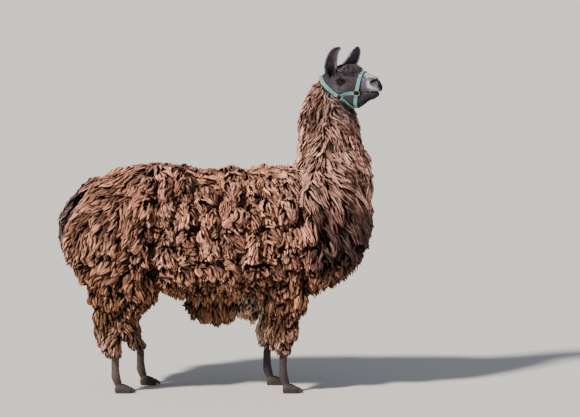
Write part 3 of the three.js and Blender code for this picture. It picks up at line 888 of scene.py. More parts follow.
def lock_profile(t, root_share, tip_share, tip_size, power):
    """Width along a lock, from its root to a rounded or pointed tip."""
    root = 0.55 + 0.45 * ramp(t, 0, root_share)
    tip = np.clip((1 - t) / tip_share, 0, 1)
    return root * (tip_size + (1 - tip_size) * (1 - (1 - tip) ** power) ** (1 / power))


def grow(region, group, seed, spacing, length, width, thick, rings, clump, crimp, wave, tip,
         pull=0.45, lift=0.004, depth=0.055, rough=0.004, shag=0.008):
    """Covers a region of the fleece with locks.

    region(p, n) picks the place, and group(p) the piece. Locks of rings cross-sections stand spacing
    apart and draw by pull into bunches that stand clump apart. crimp and wave are the height and length
    of the waves along a lock; rough and shag are how unevenly single locks and whole bunches stand;
    lift is how far tips rise, and depth how far inside the outline the roots lie.
    """
    draw = np.random.default_rng(seed)
    roots = fleece.scatter(spacing, region, draw)
    count = len(roots)
    heads = fleece.scatter(clump, region, draw)
    apart = np.array([0, 0.15, 0])
    bunch = nearest_index(roots + side_of(roots)[:, None] * apart, heads + side_of(heads)[:, None] * apart)
    bunch_length = length * draw.uniform(0.85, 1.15, len(heads))
    bunch_path, _, _ = trace(fleece, heads, bunch_length, TRACE_STEPS, draw.normal(0, SHED, len(heads)))
    small = 0.45 + 0.55 * ramp(head_gap(roots), 0.0, 0.07)
    own = length * small * draw.uniform(0.75, 1.15, count)
    path, normal, free = trace(fleece, roots, own, TRACE_STEPS, draw.normal(0, SHED, count))
    toward = bunch_path[bunch] - path
    toward = toward - (toward * normal).sum(2, keepdims=True) * normal
    path = path + toward * (pull * ramp(np.linspace(0, 1, TRACE_STEPS + 1), 0.1, 0.9))[None, :, None]
    onto, facing, index = fleece.nearest(path[~free])
    path[~free], normal[~free] = onto, facing
    t = np.linspace(0, 1, rings)
    # open_air: how far each place of a lock stands out of the sunk partings; it darkens the lock below,
    # painted shade in the partings
    open_air = np.ones(free.shape)
    open_air[~free] = ramp(hull_sunk[hull_tris[index, 0]], -0.046, -0.004)
    at = np.minimum((t * TRACE_STEPS).astype(int), TRACE_STEPS - 1)
    share = t * TRACE_STEPS - at
    open_air = open_air[:, at] * (1 - share) + open_air[:, at + 1] * share
    centre, normal = resampled(path, t), unit(resampled(normal, t))
    # crimps run on from lock to lock, arched over each lobe
    lobe, _, _ = lobes.query(roots)
    middle, half = lobes.seeds[lobe, 0], lobes.seeds[lobe, 3]
    u = (body_x(centre) - middle[:, None]) / half[:, None]
    phase = 2 * math.pi * (centre[:, :, 2] + ARCH * np.minimum(u ** 2, 1.5)) / wave
    phase = phase + 1.6 * crimp_waves(centre) + lobe[:, None] * 2.1
    strength = crimp * (0.75 + 0.35 * strength_waves(centre))
    swing = ramp(t, 0.10, 0.30)[None]
    rand = draw.uniform(size=count)[:, None]
    bunch_rand = draw.uniform(size=len(heads))[bunch][:, None]
    height = (rand - 0.6) * 2 * rough + (bunch_rand - 0.5) * 2 * shag * swing
    wave_shape = 1.6 * np.abs(np.cos(phase / 2)) - 0.9  # round folds with sharp valleys
    height = height + swing * strength * wave_shape
    height = height + lift * ramp(t, 0.6, 1.0)[None] * draw.uniform(-0.4, 1.6, (count, 1))
    # the height over the outline also sets painted light below: raised places lighter, low places darker
    shading_height = height / (crimp + rough + shag)
    height = height - depth * ((1 - ramp(t, 0.0, 0.30)) ** 1.5)[None]
    centre = centre + normal * height[:, :, None]
    sway = unit(np.cross(normal, np.gradient(centre, axis=1)))
    centre = centre + sway * (0.5 * crimp * swing * np.sin(0.5 * phase + 9 * rand))[:, :, None]
    profile = lock_profile(t, 0.2, *tip)[None]
    size = draw.uniform(0.65, 1.45, (count, 1)) * (0.4 + 0.6 * small[:, None])
    half_width = 0.5 * width * profile * size
    half_thick = 0.5 * thick * profile * draw.uniform(0.8, 1.2, (count, 1))
    # painted light on the locks: crests and raised locks lighter as painted highlight, low places darker as
    # painted shade; only the random share is the wool's own tone
    tone = 0.46 + 0.50 * shading_height + 0.22 * (rand - 0.5)
    # roots darker as painted shade deep in the coat, and locks in the partings darker as painted shade
    tone = tone * ramp(t, 0.08, 0.40)[None] * (0.12 + 0.88 * open_air)
    # a root that came to lie outside the outline would show, so its lock is dropped
    onto, facing, _ = fleece.nearest(centre[:, 0])
    sound = np.flatnonzero(((centre[:, 0] - onto) * facing).sum(1) < 0)
    half_width, half_thick = (np.broadcast_to(a, tone.shape)[sound] for a in (half_width, half_thick))
    roots, centre, normal, tone = roots[sound], centre[sound], normal[sound], tone[sound]
    on_skin, _, index = skin_surface.nearest(centre[:, 0])
    coat.add(group(roots), centre, normal, half_width, half_thick, tone, draw.uniform(0, 50, len(sound)),
             skin_uv(on_skin, index), marking(roots, normal[:, 0]))


crimp_waves = Waves(31, 0.22)
strength_waves = Waves(32, 0.12)


def tufts(surface, region, way, name, seed, spacing, length, width, thick, rings, rise, lift=0.0005,
          curl=0.0, shed=0.15, dark=0.0):
    """Small tufts of short hair that start just under a surface and rise a little above it."""
    draw = np.random.default_rng(seed)
    roots = surface.scatter(spacing, region, draw)
    count = len(roots)
    own = length(roots) * draw.uniform(0.7, 1.2, count)
    path, normal, _ = trace(surface, roots, own, 4, draw.normal(0, shed, count), hang=NEVER, way=way)
    t = np.linspace(0, 1, rings)
    centre, normal = resampled(path, t), unit(resampled(normal, t))
    stand = draw.uniform(0.3, 1.3, (count, 1))
    height = -0.003 + (0.003 + lift) * ramp(t, 0, 0.35)[None] + rise * stand * (t ** 1.5)[None]
    centre = centre + normal * height[:, :, None]
    if curl:
        sway = unit(np.cross(normal, np.gradient(centre, axis=1)))
        centre = centre + sway * (curl * np.sin(9 * t[None] + draw.uniform(0, 6, (count, 1))) * t)[:, :, None]
    profile = lock_profile(t, 0.25, *TUFT_TIP)[None]
    size = draw.uniform(0.7, 1.3, (count, 1))
    tone = 0.56 + 0.10 * t[None] + draw.normal(0, 0.07, (count, 1)) - dark
    on_skin, _, index = skin_surface.nearest(centre[:, 0])
    # a tuft carries a quarter of a lock's painted shade and highlight across it
    coat.add(np.full(count, name), centre, normal, 0.5 * width * profile * size, 0.5 * thick * profile * size,
             tone, draw.uniform(0, 50, count), skin_uv(on_skin, index), marking(roots, normal[:, 0]),
             edge_shade=0.25)


def nearest_index(points, targets):
    tree = KDTree(len(targets))
    for i, q in enumerate(targets.tolist()):
        tree.insert(q, i)
    tree.balance()
    return np.array([tree.find(p)[1] for p in points.tolist()])


def skin_uv(place, index):
    """Where places on the skin lie on its unwrap."""
    shares = skin_surface.shares(place, index)
    return (skin_map[skin_loops[index]] * shares[:, :, None]).sum(1)


def srgb(r, g, b):
    c = np.array([r, g, b]) / 255
    return np.where(c > 0.04045, ((c + 0.055) / 1.055) ** 2.4, c / 12.92)


# the chest and tail colours are darker than the wool around them: painted shade
PALETTE = {name: srgb(*rgb) for name, rgb in dict(
    barrel=(150, 105, 86), rump=(134, 93, 75), neck=(164, 122, 106), chest=(78, 54, 51), belly=(120, 82, 60),
    pale_belly=(158, 128, 106), tail=(88, 68, 68), thigh=(120, 82, 60), shin_wool=(126, 94, 78),
    shank=(58, 52, 56), shank_front=(98, 74, 58), foot=(66, 58, 56), back_leg=(98, 80, 70),
    throat=(112, 90, 86), face=(60, 53, 59), cheek=(96, 90, 102), brow=(52, 45, 49), lid=(30, 26, 30),
    bridge=(60, 52, 56), white=(190, 190, 200), nose=(26, 26, 32), lip=(44, 40, 46), ear=(66, 58, 66),
    ear_rim=(132, 124, 138), ear_inside=(96, 84, 90), forelock=(70, 60, 64),
).items()}
MUZZLE_BAND = [(0.222, 0.030), (0.226, 0.014), (0.244, 0.000), (0.268, -0.006)]
patches = [Waves(51, 0.30), Waves(52, 0.07), Waves(53, 0.022)]


class Paint:
    """Colours laid over one another by weight."""

    def __init__(self, colour):
        self.colour = colour

    def lay(self, name, weight):
        self.colour = self.colour + np.clip(weight, 0, 1)[:, None] * (PALETTE[name] - self.colour)


def marking(p, n):
    """Colour of hair and skin at a place, as linear red, green, blue."""
    x, y, z = body_x(p), p[:, 1], p[:, 2]
    paint = Paint(np.tile(PALETTE["barrel"], (len(p), 1)))
    lay = paint.lay
    lay("rump", ramp(-x, 0.25, 0.45))
    lay("neck", ramp(x, 0.22, 0.40) * ramp(z, 0.85, 1.10))
    # the chest's dark colour is painted shade
    lay("chest", ramp(x, 0.36, 0.52) * ramp(-z, -1.18, -0.86))
    lay("thigh", ramp(-z, -0.74, -0.52))
    lay("shin_wool", ramp(-z, -0.42, -0.26))
    under = ramp(-z, -0.56, -0.46) * ramp(x, -0.26, -0.20) * ramp(-x, -0.24, -0.20)
    under = under * ramp(-np.abs(y), -0.15, -0.11)
    lay("belly", under)
    lay("pale_belly", under * ramp(x, 0.05, 0.10))
    # the tail's dark bluish brown is painted shade
    lay("tail", ramp(-x, 0.625, 0.68) * ramp(z, 0.66, 0.74) * ramp(-np.abs(y), -0.17, -0.11))
    low = ramp(-z, -0.235, -0.19)
    lay("shank", low)
    lay("shank_front", low * ramp(n[:, 0], 0.45, 0.85) * ramp(z, 0.06, 0.12))
    lay("back_leg", low * ramp(-x, 0.1, 0.3) * 0.6)
    lay("foot", ramp(-z, -0.085, -0.05))
    head = np.flatnonzero((z > HEAD_FLOOR) & (x > 0.40))
    if len(head):
        paint.colour[head] = face_marking(p[head], n[head], paint.colour[head])
    shade = 1 + 0.13 * patches[0](p) + 0.10 * patches[1](p) + 0.08 * patches[2](p)
    return np.clip(paint.colour * shade[:, None], 0.002, 0.9)


def face_marking(p, n, colour):
    """As marking, for places on the head; colour is what lies beneath."""
    q = to_head(p)
    x, y, z = q[:, 0], np.abs(q[:, 1]), q[:, 2]
    m = n @ HEAD_AXES.T
    paint = Paint(colour)
    lay = paint.lay
    ragged = 0.010 * patches[1](p)
    on_head = ramp(x + 0.9 * z + ragged, -0.02, 0.03) * ramp(z + 0.35 * x + ragged, -0.075, -0.055)
    lay("throat", ramp(x, -0.02, 0.10) * ramp(z, -0.22, -0.10))
    lay("face", on_head)
    lay("cheek", on_head * np.exp(-((x - 0.075) / 0.050) ** 2 - ((z + 0.018) / 0.030) ** 2))
    lay("brow", on_head * ramp(z + ragged, 0.052, 0.070) * ramp(-x, -0.19, -0.16))
    lay("bridge", on_head * ramp(x + ragged, 0.105, 0.125))
    lay("lid", np.exp(-(np.hypot(x - EYE_LOCAL[0], z - EYE_LOCAL[2]) / 0.023) ** 4) * ramp(y, 0.02, 0.04))
    # the top of the muzzle is painted white: a painted highlight from above
    top = ramp(z - 0.10 * x + ragged, 0.020, 0.034)
    white = ramp(x + 0.5 * ragged, 0.192, 0.206) * top
    band = np.exp(-(distance_to_line(x, z, MUZZLE_BAND) / 0.0095) ** 2)
    lay("cheek", ramp(x, 0.185, 0.20) * (1 - top) * 0.7)
    # white: the painted highlight on the muzzle's top, and the white band along its side
    lay("white", np.maximum(white * 0.68, band * ramp(x, 0.21, 0.225)))
    lay("bridge", np.exp(-((x - 0.203) / 0.009) ** 2 - ((z - 0.052) / 0.012) ** 2))
    lay("nose", np.exp(-(distance_to_line(x, z, NOSTRIL) / 0.0085) ** 2) * ramp(x, 0.232, 0.242))
    lay("nose", ramp(x + 0.3 * z, 0.272, 0.282))
    # the mouth crease is painted dark: painted shade in the crease
    lay("nose", np.exp(-(distance_to_line(x, z, MOUTH) / 0.0032) ** 2) * ramp(x, 0.19, 0.205))
    lay("lip", ramp(x, 0.175, 0.205) * ramp(-z + 0.2 * (x - 0.2), 0.022, 0.030))
    lay("forelock", ramp(x, 0.0, 0.02) * ramp(-x, -0.18, -0.15) * ramp(z, 0.084, 0.094))
    for k in (-1, 1):
        middle, half, _, _, hollow, across = EAR_ROWS[k]
        gap = q[:, None] - middle[None, EAR_FREE:]
        row = (gap ** 2).sum(2).argmin(1) + EAR_FREE
        off = q - middle[row]
        beside = np.abs((off * across[row]).sum(1)) / half[row]
        facing = (m * hollow[row]).sum(1)
        along = row / (EAR_ALONG - 1)
        ear = ramp(z, 0.070, 0.085) * (np.linalg.norm(off, axis=1) < 0.040) * (q[:, 1] * k > 0)
        ear = ear * ramp(along, 0.30, 0.38)
        lay("ear", ear)
        lay("ear_inside", ear * ramp(facing, 0.1, 0.6) * (1 - ramp(along, 0.67, 0.92)) * 0.6)
        lay("ear_rim", ear * ramp(beside, 0.72, 0.98) * 0.75)
        lay("ear_rim", ear * ramp(along, 0.90, 1.0) * ramp(-facing, -0.2, 0.4) * 0.6)
    return paint.colour


EAR_ROWS = {k: ear_rows(k) for k in (-1, 1)}


def on_face(p):
    """True where the short hair of the head grows; the wool of the neck starts behind it."""
    q = to_head(p)
    ragged = 0.006 * patches[1](p)
    behind = q[:, 0] + 0.9 * q[:, 2] + ragged < 0.012
    under = q[:, 2] + 0.35 * q[:, 0] + ragged < -0.070
    return ~(behind | under) & (p[:, 2] > HEAD_FLOOR)


def zones(p):
    """The regions of the wool, each as true or false at every place."""
    x, y, z = body_x(p), p[:, 1], p[:, 2]
    leg = z < 0.50
    tail = (x < -0.69) & (np.abs(y) < 0.12) & (z > 0.70)
    neck = (z > 1.08) & (x > 0.33)
    chest = ~neck & (x > 0.40) & ~leg
    rump = (x < -0.33) & ~leg & ~tail
    belly = leg & (x > -0.24) & (x < 0.20) & (np.abs(y) < 0.11)
    leg = leg & ~belly
    barrel = ~(leg | tail | neck | chest | rump | belly)
    return dict(leg=leg, tail=tail, neck=neck, chest=chest, rump=rump, belly=belly, barrel=barrel)


def zone(name):
    return lambda p, n: zones(p)[name] & ~on_face(p)


def sides(name):
    return lambda p: np.where(p[:, 1] < 0, "coat_" + name + "_right", "coat_" + name + "_left")


def quarters(name, split):
    """As sides, and in front of or behind a place along the body."""
    def part(p):
        ahead = np.where(body_x(p) > split, "fore_", "hind_")
        return np.char.add(np.char.add("coat_" + name + "_", ahead), np.where(p[:, 1] < 0, "right", "left"))
    return part


webbing_tree = tree_of(STRAPS)


def strap_gap(p):
    return np.array([webbing_tree.find_nearest(v)[3] for v in p.tolist()])


def clear_of_straps(p):
    good = np.ones(len(p), bool)
    near = np.flatnonzero(p[:, 2] > HEAD_FLOOR)
    good[near] = strap_gap(p[near]) > 0.006
    return good


def neck_wool(p, n):
    return zone("neck")(p, n) & clear_of_straps(p)


def collar_wool(p, n):
    return neck_wool(p, n) & (head_gap(p) < 0.075)


BARREL_SPLIT = -0.10  # the barrel's pieces part here, ahead and behind

grow(zone("barrel"), quarters("barrel", BARREL_SPLIT), seed=101, spacing=0.0150, length=0.068, width=0.0132,
     thick=0.0064, rings=9, clump=0.042, crimp=0.0050, wave=0.034, tip=ROUNDED, pull=0.55, lift=0.006,
     rough=0.0035)
grow(zone("rump"), sides("rump"), seed=102, spacing=0.0154, length=0.074, width=0.0132, thick=0.0060,
     rings=9, clump=0.044, crimp=0.0030, wave=0.036, tip=ROUNDED, pull=0.6, lift=0.006, rough=0.005)
grow(neck_wool, sides("neck"), seed=103, spacing=0.0125, length=0.066, width=0.0100, thick=0.0050,
     rings=10, clump=0.038, crimp=0.0035, wave=0.026, tip=POINTED, depth=0.025)
grow(collar_wool, sides("neck"), seed=113, spacing=0.0098, length=0.095, width=0.0105, thick=0.0050,
     rings=8, clump=0.026, crimp=0.0035, wave=0.020, tip=POINTED, lift=0.006, depth=0.020, rough=0.006)
grow(zone("chest"), sides("chest"), seed=104, spacing=0.0165, length=0.115, width=0.0115, thick=0.0065,
     rings=10, clump=0.050, crimp=0.002, wave=0.035, tip=POINTED, pull=0.6, rough=0.005, shag=0.010)
grow(zone("leg"), sides("legs"), seed=105, spacing=0.0146, length=0.058, width=0.0128, thick=0.0050,
     rings=7, clump=0.035, crimp=0.001, wave=0.020, tip=POINTED, depth=0.02, rough=0.003, shag=0.006)
grow(zone("belly"), sides("belly"), seed=106, spacing=0.0125, length=0.095, width=0.0125, thick=0.005,
     rings=8, clump=0.040, crimp=0.001, wave=0.020, tip=POINTED, depth=0.03)
grow(zone("tail"), sides("tail"), seed=107, spacing=0.014, length=0.090, width=0.011, thick=0.005,
     rings=10, clump=0.040, crimp=0.003, wave=0.026, tip=POINTED, depth=0.02)


# ------------------------------------------------------------------ short hair
def head_way(dx, dy, dz):
    """A lie given in the head's frame, mirrored on its right side."""
    def way(p, n, side):
        mirror = np.stack([np.ones(len(p)), np.sign(to_head(p)[:, 1] + 1e-9), np.ones(len(p))], 1)
        return laid((np.array([dx, dy, dz]) * mirror) @ HEAD_AXES, n)
    return way


def even(length):
    return lambda p: np.full(len(p), length)


def face_region(p, n):
    q = to_head(p)
    open_face = (gap_from(q, EYE_LOCAL) > 0.029) & (distance_to_line(q[:, 0], q[:, 2], NOSTRIL) > 0.009)
    return on_face(p) & (q[:, 0] < 0.262) & open_face


def face_length(p):
    q = to_head(p)
    return 0.008 + 0.012 * ramp(-q[:, 0], -0.20, -0.06) + 0.006 * ramp(-q[:, 2], 0.01, 0.05)


def forelock_region(p, n):
    q = to_head(p)
    on_top = (q[:, 2] > 0.080) & (np.abs(q[:, 1]) < 0.045) & (n[:, 2] > 0.1)
    return on_top & (q[:, 0] > -0.012) & (q[:, 0] < 0.150)


def chin_region(p, n):
    q = to_head(p)
    return (n[:, 2] < -0.45) & (q[:, 0] > 0.08) & (q[:, 0] < 0.245) & (strap_gap(p) > 0.012)


tufts(face, face_region, head_way(-1, 0.1, -0.30), "coat_face", seed=201, spacing=0.0049, length=face_length,
      width=0.0013, thick=0.0006, rings=4, rise=0.0009, lift=0.0002)
tufts(face, forelock_region, head_way(1.0, 0.55, -0.35), "coat_forelock", seed=202, spacing=0.0058,
      length=even(0.042), width=0.0044, thick=0.0024, rings=9, rise=0.010, lift=0.003, curl=0.0045, shed=0.40)
tufts(face, chin_region, head_way(-0.6, 0, -1), "coat_face", seed=203, spacing=0.0055, length=even(0.016),
      width=0.0018, thick=0.0009, rings=5, rise=0.005)


def ear_row(k, q):
    """The nearest row of an ear to places in the head's frame."""
    return ((q[:, None] - EAR_ROWS[k][0][None]) ** 2).sum(2).argmin(1)


def ear_way(k):
    """Hair that runs towards the tip of the ear."""
    def way(p, n, side):
        return laid(EAR_ROWS[k][3][ear_row(k, to_head(p))] @ HEAD_AXES, n)
    return way


def ear_region(k, part):
    """The back, the hollow or the rim of an ear."""
    middle, half, _, _, hollow, across = EAR_ROWS[k]

    def region(p, n):
        q = to_head(p)
        row = ear_row(k, q)
        beside = np.abs(((q - middle[row]) * across[row]).sum(1)) / half[row]
        facing = ((n @ HEAD_AXES.T) * hollow[row]).sum(1)
        chosen = {
            "back": facing < 0.05,
            "hollow": (facing > 0.1) & (beside < 0.8) & (row < 30),
            "rim": (beside > 0.86) & (row > 14),
        }[part]
        return chosen & (row >= EAR_FREE) & (row < EAR_ALONG - 2)
    return region


for side, hand in HANDS:
    ear = Surface(*ear_points[side])
    way, name = ear_way(side), "coat_ear_" + hand
    tufts(ear, ear_region(side, "back"), way, name, seed=210 + side, spacing=0.0048, length=even(0.012),
          width=0.0015, thick=0.0007, rings=4, rise=0.0010)
    tufts(ear, ear_region(side, "hollow"), way, name, seed=220 + side, spacing=0.0070, length=even(0.034),
          width=0.0020, thick=0.0010, rings=6, rise=0.006, lift=0.002, dark=-0.25)
    tufts(ear, ear_region(side, "rim"), way, name, seed=230 + side, spacing=0.0038, length=even(0.015),
          width=0.0017, thick=0.0009, rings=5, rise=0.003, lift=0.001, dark=-0.15)


def foot_region(p, n):
    return (p[:, 2] > 0.020) & (p[:, 2] < 0.235)


def down_way(p, n, side):
    ahead = 0.35 * np.array([1.0, 0, 0]) * ramp(-p[:, 2], -0.09, -0.05)[:, None]
    return laid(np.array([0.0, 0, -1]) + ahead, n)


tufts(Surface(foot_points, foot_tris), foot_region, down_way, "coat_feet", seed=240, spacing=0.0062,
      length=even(0.015), width=0.0015, thick=0.0007, rings=3, rise=0.0007, dark=-0.12)


def lashes(k):
    """Stiff lashes in a row along the upper lid, and short ones below."""
    centre, out, ahead, up = eye_axes(k)
    draw = np.random.default_rng(300 + k)
    for sign, count, length, opening in ((1, 46, 0.017, 0.0100), (-1, 26, 0.008, -0.0085)):
        h = np.linspace(-0.0165, 0.0165, count) + draw.normal(0, 0.0003, count)
        v = opening * np.clip(1 - (h / EYE_HALF_SLIT) ** 2, 0, 1) ** 0.8
        a, b = h / EYE_RADIUS, v / EYE_RADIUS
        way = unit(out + np.tan(a)[:, None] * ahead + np.tan(b)[:, None] * up)
        root = centre + way * 0.0200
        grow_way = unit(way + sign * 0.25 * up + 0.6 * a[:, None] * ahead)
        t = np.linspace(0, 1, 6)
        own = length * draw.uniform(0.7, 1.15, count)
        path = root[:, None] + grow_way[:, None] * (own[:, None] * t)[:, :, None]
        droop = -0.35 * sign * t + 0.75 * sign * t ** 2
        path = path + up * (own[:, None] * droop * 0.6 * sign)[:, :, None] * (1 if sign > 0 else -0.4)
        centre_line = from_head(path)
        normal = np.tile(up @ HEAD_AXES, (count, len(t), 1))
        size = 0.00038 * (1 - 0.85 * t)[None] * np.ones((count, 1))
        on_skin, _, index = skin_surface.nearest(centre_line[:, 0])
        coat.add(np.full(count, "lashes"), centre_line, normal, size, size, np.full((count, len(t)), 0.25),
                 draw.uniform(0, 50, count), skin_uv(on_skin, index), np.tile(PALETTE["lid"], (count, 1)))


for side, _ in HANDS:
    lashes(side)

HAIR_SLOTS = {"lashes": "face_hair", "coat_face": "face_hair", "coat_forelock": "face_hair",
              "coat_ear_right": "face_hair", "coat_ear_left": "face_hair", "coat_feet": "leg_hair",
              "coat_legs_right": "leg_hair", "coat_legs_left": "leg_hair"}


# ------------------------------------------------------------------ materials
class Nodes:
    """Short hand for wiring a node material."""

    def __init__(self, name):
        self.material = bpy.data.materials.new(name)
        self.material.use_nodes = True
        self.tree = self.material.node_tree
        self.shader = self.tree.nodes["Principled BSDF"]

    def add(self, kind, **inputs):
        node = self.tree.nodes.new("ShaderNode" + kind)
        for key, value in inputs.items():
            if key in ("operation", "attribute_name"):
                setattr(node, key, value)
        for key, value in inputs.items():
            if key[0] == "i" and key[1:].isdigit():
                self.put(node.inputs[int(key[1:])], value)
            elif key[0].isupper():
                self.put(node.inputs[key.replace("_", " ")], value)
        return node

    def put(self, socket, value):
        if isinstance(value, bpy.types.NodeSocket):
            self.tree.links.new(value, socket)
        else:
            socket.default_value = value

    def attribute(self, name, output):
        return self.add("Attribute", attribute_name=name).outputs[output]

    def math(self, operation, a, b=0.0):
        return self.add("Math", operation=operation, i0=a, i1=b).outputs[0]

    def noise(self, vector, scale, detail=2.0, rough=0.5):
        return self.add("TexNoise", Vector=vector, Scale=scale, Detail=detail, Roughness=rough).outputs[0]

    def scaled(self, vector, by):
        return self.add("VectorMath", operation="MULTIPLY", i0=vector, i1=by).outputs[0]

    def span(self, value, low, high, to_low, to_high):
        return self.add("MapRange", Value=value, From_Min=low, From_Max=high, To_Min=to_low,
                        To_Max=to_high).outputs[0]

    def tinted(self, tone):
        """The colour laid on the corners of the mesh, times a tone."""
        colour = self.attribute("mark", "Color")
        return self.add("VectorMath", operation="SCALE", i0=colour, Scale=tone).outputs[0]

    def mix(self, share, first, second):
        """From first to second by share; each is a colour or a socket."""
        first, second = ((*c, 1) if isinstance(c, np.ndarray) else c for c in (first, second))
        return self.add("MixRGB", Fac=share, Color1=first, Color2=second).outputs[0]

    def finish(self, colour, rough, height=None, distance=0.001, strength=1.0, **more):
        self.put(self.shader.inputs["Base Color"], colour)
        self.put(self.shader.inputs["Roughness"], rough)
        for key, value in more.items():
            self.put(self.shader.inputs[key.replace("_", " ")], value)
        if height is not None:
            normal = self.add("Bump", Strength=strength, Distance=distance, Height=height).outputs[0]
            self.put(self.shader.inputs["Normal"], normal)
        return self.material


def coat_material():
    m = Nodes("fleece")
    fibre = m.attribute("fibre", "Vector")
    strands = m.noise(m.scaled(fibre, (240, 22, 1)), 1.0, 1.0)
    hairs = m.noise(m.scaled(fibre, (900, 45, 1)), 1.0, 2.0)
    # the tone attribute holds the painted shade and painted highlight of the locks, here times the strand
    # streaks
    tone = m.math("MULTIPLY", m.attribute("tone", "Fac"), m.span(strands, 0.30, 0.70, 0.45, 1.55))
    tone = m.math("MULTIPLY", tone, m.span(hairs, 0.3, 0.7, 0.70, 1.30))
    height = m.math("ADD", strands, m.math("MULTIPLY", hairs, 0.3))
    return m.finish(m.tinted(tone), 0.85, height, 0.0055, 1.0, Specular_IOR_Level=0.15)


def add_colour(mesh, colour):
    attribute = mesh.attributes.new("mark", "FLOAT_COLOR", "POINT")
    rgba = np.concatenate([colour, np.ones((len(colour), 1))], 1)
    attribute.data.foreach_set("color", rgba.astype(np.float32).ravel())


def skin_material():
    m = Nodes("skin")
    place = m.add("TexCoord").outputs["Object"]
    turned = m.add("Mapping", Vector=place, Rotation=(0, 0, -HEAD_TURN), Scale=(1, 1, 1)).outputs[0]
    hairs = m.noise(m.scaled(turned, (110, 650, 480)), 1.0, 2.0)
    flecks = m.noise(m.scaled(turned, (60, 260, 200)), 1.0, 2.0)
    tone = m.math("MULTIPLY", m.span(hairs, 0.25, 0.75, 0.70, 1.30), m.span(flecks, 0.25, 0.75, 0.75, 1.25))
    return m.finish(m.tinted(tone), 0.75, hairs, 0.0012, 0.8, Specular_IOR_Level=0.25)


skin_points = points_of(skin.data)
skin_normals = normals_at(skin_points, skin_tris)
skin_colour = marking(skin_points, skin_normals)
# the skin under the fleece is painted darker: painted shade beneath the wool
hidden = (1 - on_face(skin_points)) * ramp(skin_points[:, 2], 0.20, 0.24)
skin_colour = skin_colour * (1 - 0.75 * hidden)[:, None]
add_colour(skin.data, skin_colour)
skin.data.materials.clear()
skin.data.materials.append(skin_material())

coat_look = coat_material()
for name, verts, quads, fibre, tone, mark, patch in coat.pieces():
    mesh = make_mesh(name, verts, quads=quads)
    add_vectors(mesh, "fibre", fibre)
    # tone: the painted shade and painted highlight of each lock
    mesh.attributes.new("tone", "FLOAT", "POINT").data.foreach_set("value", tone.astype(np.float32))
    add_colour(mesh, mark)
    uv = mesh.uv_layers.new(name="OFBake")
    uv.data.foreach_set("uv", patch[quads.ravel()].astype(np.float32).ravel())
    show(mesh, coat_look, HAIR_SLOTS.get(name, "fleece"))


# ------------------------------------------------------------------ the halter
WEBBING_WIDTH = 0.019
LOOP_WIDTH = 0.0156  # the webbing is folded narrower where it passes through a ring
LOOP_TAPER = 0.014  # over this far it spreads to its full width
LOOP_ROWS = 9  # rows round the wire
UNDER_ROWS = 7  # rows of the end that lies back under the strap
RING_CLEAR = 0.012  # a strap's own route starts this far outside its ring
PLY = 0.0015
RING_WIRE = 0.0024  # radius of the rings' wire
RING_RADIUS = {"cheek": 0.014, "side": 0.015}
LIFT = 0.0036  # the straps' middle stands this far off the face
CAST = 0.15
outline = Surface(hull_smooth, hull_tris, smooth_normals)


def onto_body(q, over_wool=0.0):
    """Casts places in the head's frame onto the head, or onto the wool where that stands further out."""
    core = q * np.array([1, 0, 0])
    core[:, 0] = np.clip(core[:, 0], -0.03, 0.25)
    core[:, 2] = np.where(q[:, 0] > 0.12, -0.006, 0.0)
    away = unit(from_head(q) - from_head(core))
    start = from_head(core) + away * CAST
    made = []
    for begin, way, middle in zip(start.tolist(), away.tolist(), from_head(core).tolist()):
        begin, way, middle = Vector(begin), Vector(way), Vector(middle)
        hit = face.tree.ray_cast(begin, -way, CAST)[0]
        best = (hit - middle).length if hit is not None else 0.04
        if over_wool:
            hit = outline.tree.ray_cast(begin, -way, CAST)[0]
            if hit is not None:
                best = max(best, (hit - middle).length + over_wool)
        made.append(middle + way * (best + LIFT))
    return np.array([tuple(m) for m in made]), away


def ring_pose(name):
    """Middle of one of the frame's rings, and its axis, away from the head."""
    p = points_of(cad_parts[name].data)
    middle = p.mean(0)
    axis = np.linalg.svd(p - middle)[2][2]
    if axis @ (middle - HEAD_AT - np.array([0.1, 0, 0])) < 0:
        axis = -axis
    return middle, axis


BAND_SECTION = np.array([(-1, -0.25), (-1, 0.25), (-0.96, 0.5), (0.96, 0.5), (1, 0.25), (1, -0.25),
                         (0.96, -0.5), (-0.96, -0.5)])  # across in half widths, out in plies


def band(node, centre, across, out, half):
    """A flat band of webbing along a route, with bevelled edges, as one closed piece."""
    section = BAND_SECTION
    rows, m = len(centre), len(section)
    wide = half[:, None] * section[:, 0]
    verts = (centre[:, None] + across[:, None] * wide[:, :, None]
             + out[:, None] * (PLY * section[:, 1])[None, :, None]).reshape(-1, 3)
    quads = tube_quads(rows, m)
    fan = np.array([[0, i, i + 1] for i in range(1, m - 1)])
    tris = np.concatenate([fan[:, ::-1], fan + (rows - 1) * m])
    if inside_out(verts, quads):
        quads, tris = quads[:, ::-1], tris[:, ::-1]
    mesh = make_mesh("halter_" + node, verts, quads=quads, tris=tris, smooth=False)
    along = np.repeat(reach_of(centre)[:, None], m, 1)
    add_vectors(mesh, "fibre", np.stack([wide, along, np.broadcast_to(section[:, 1] * PLY, (rows, m))], 2))
    show(mesh, webbing, "webbing", node)


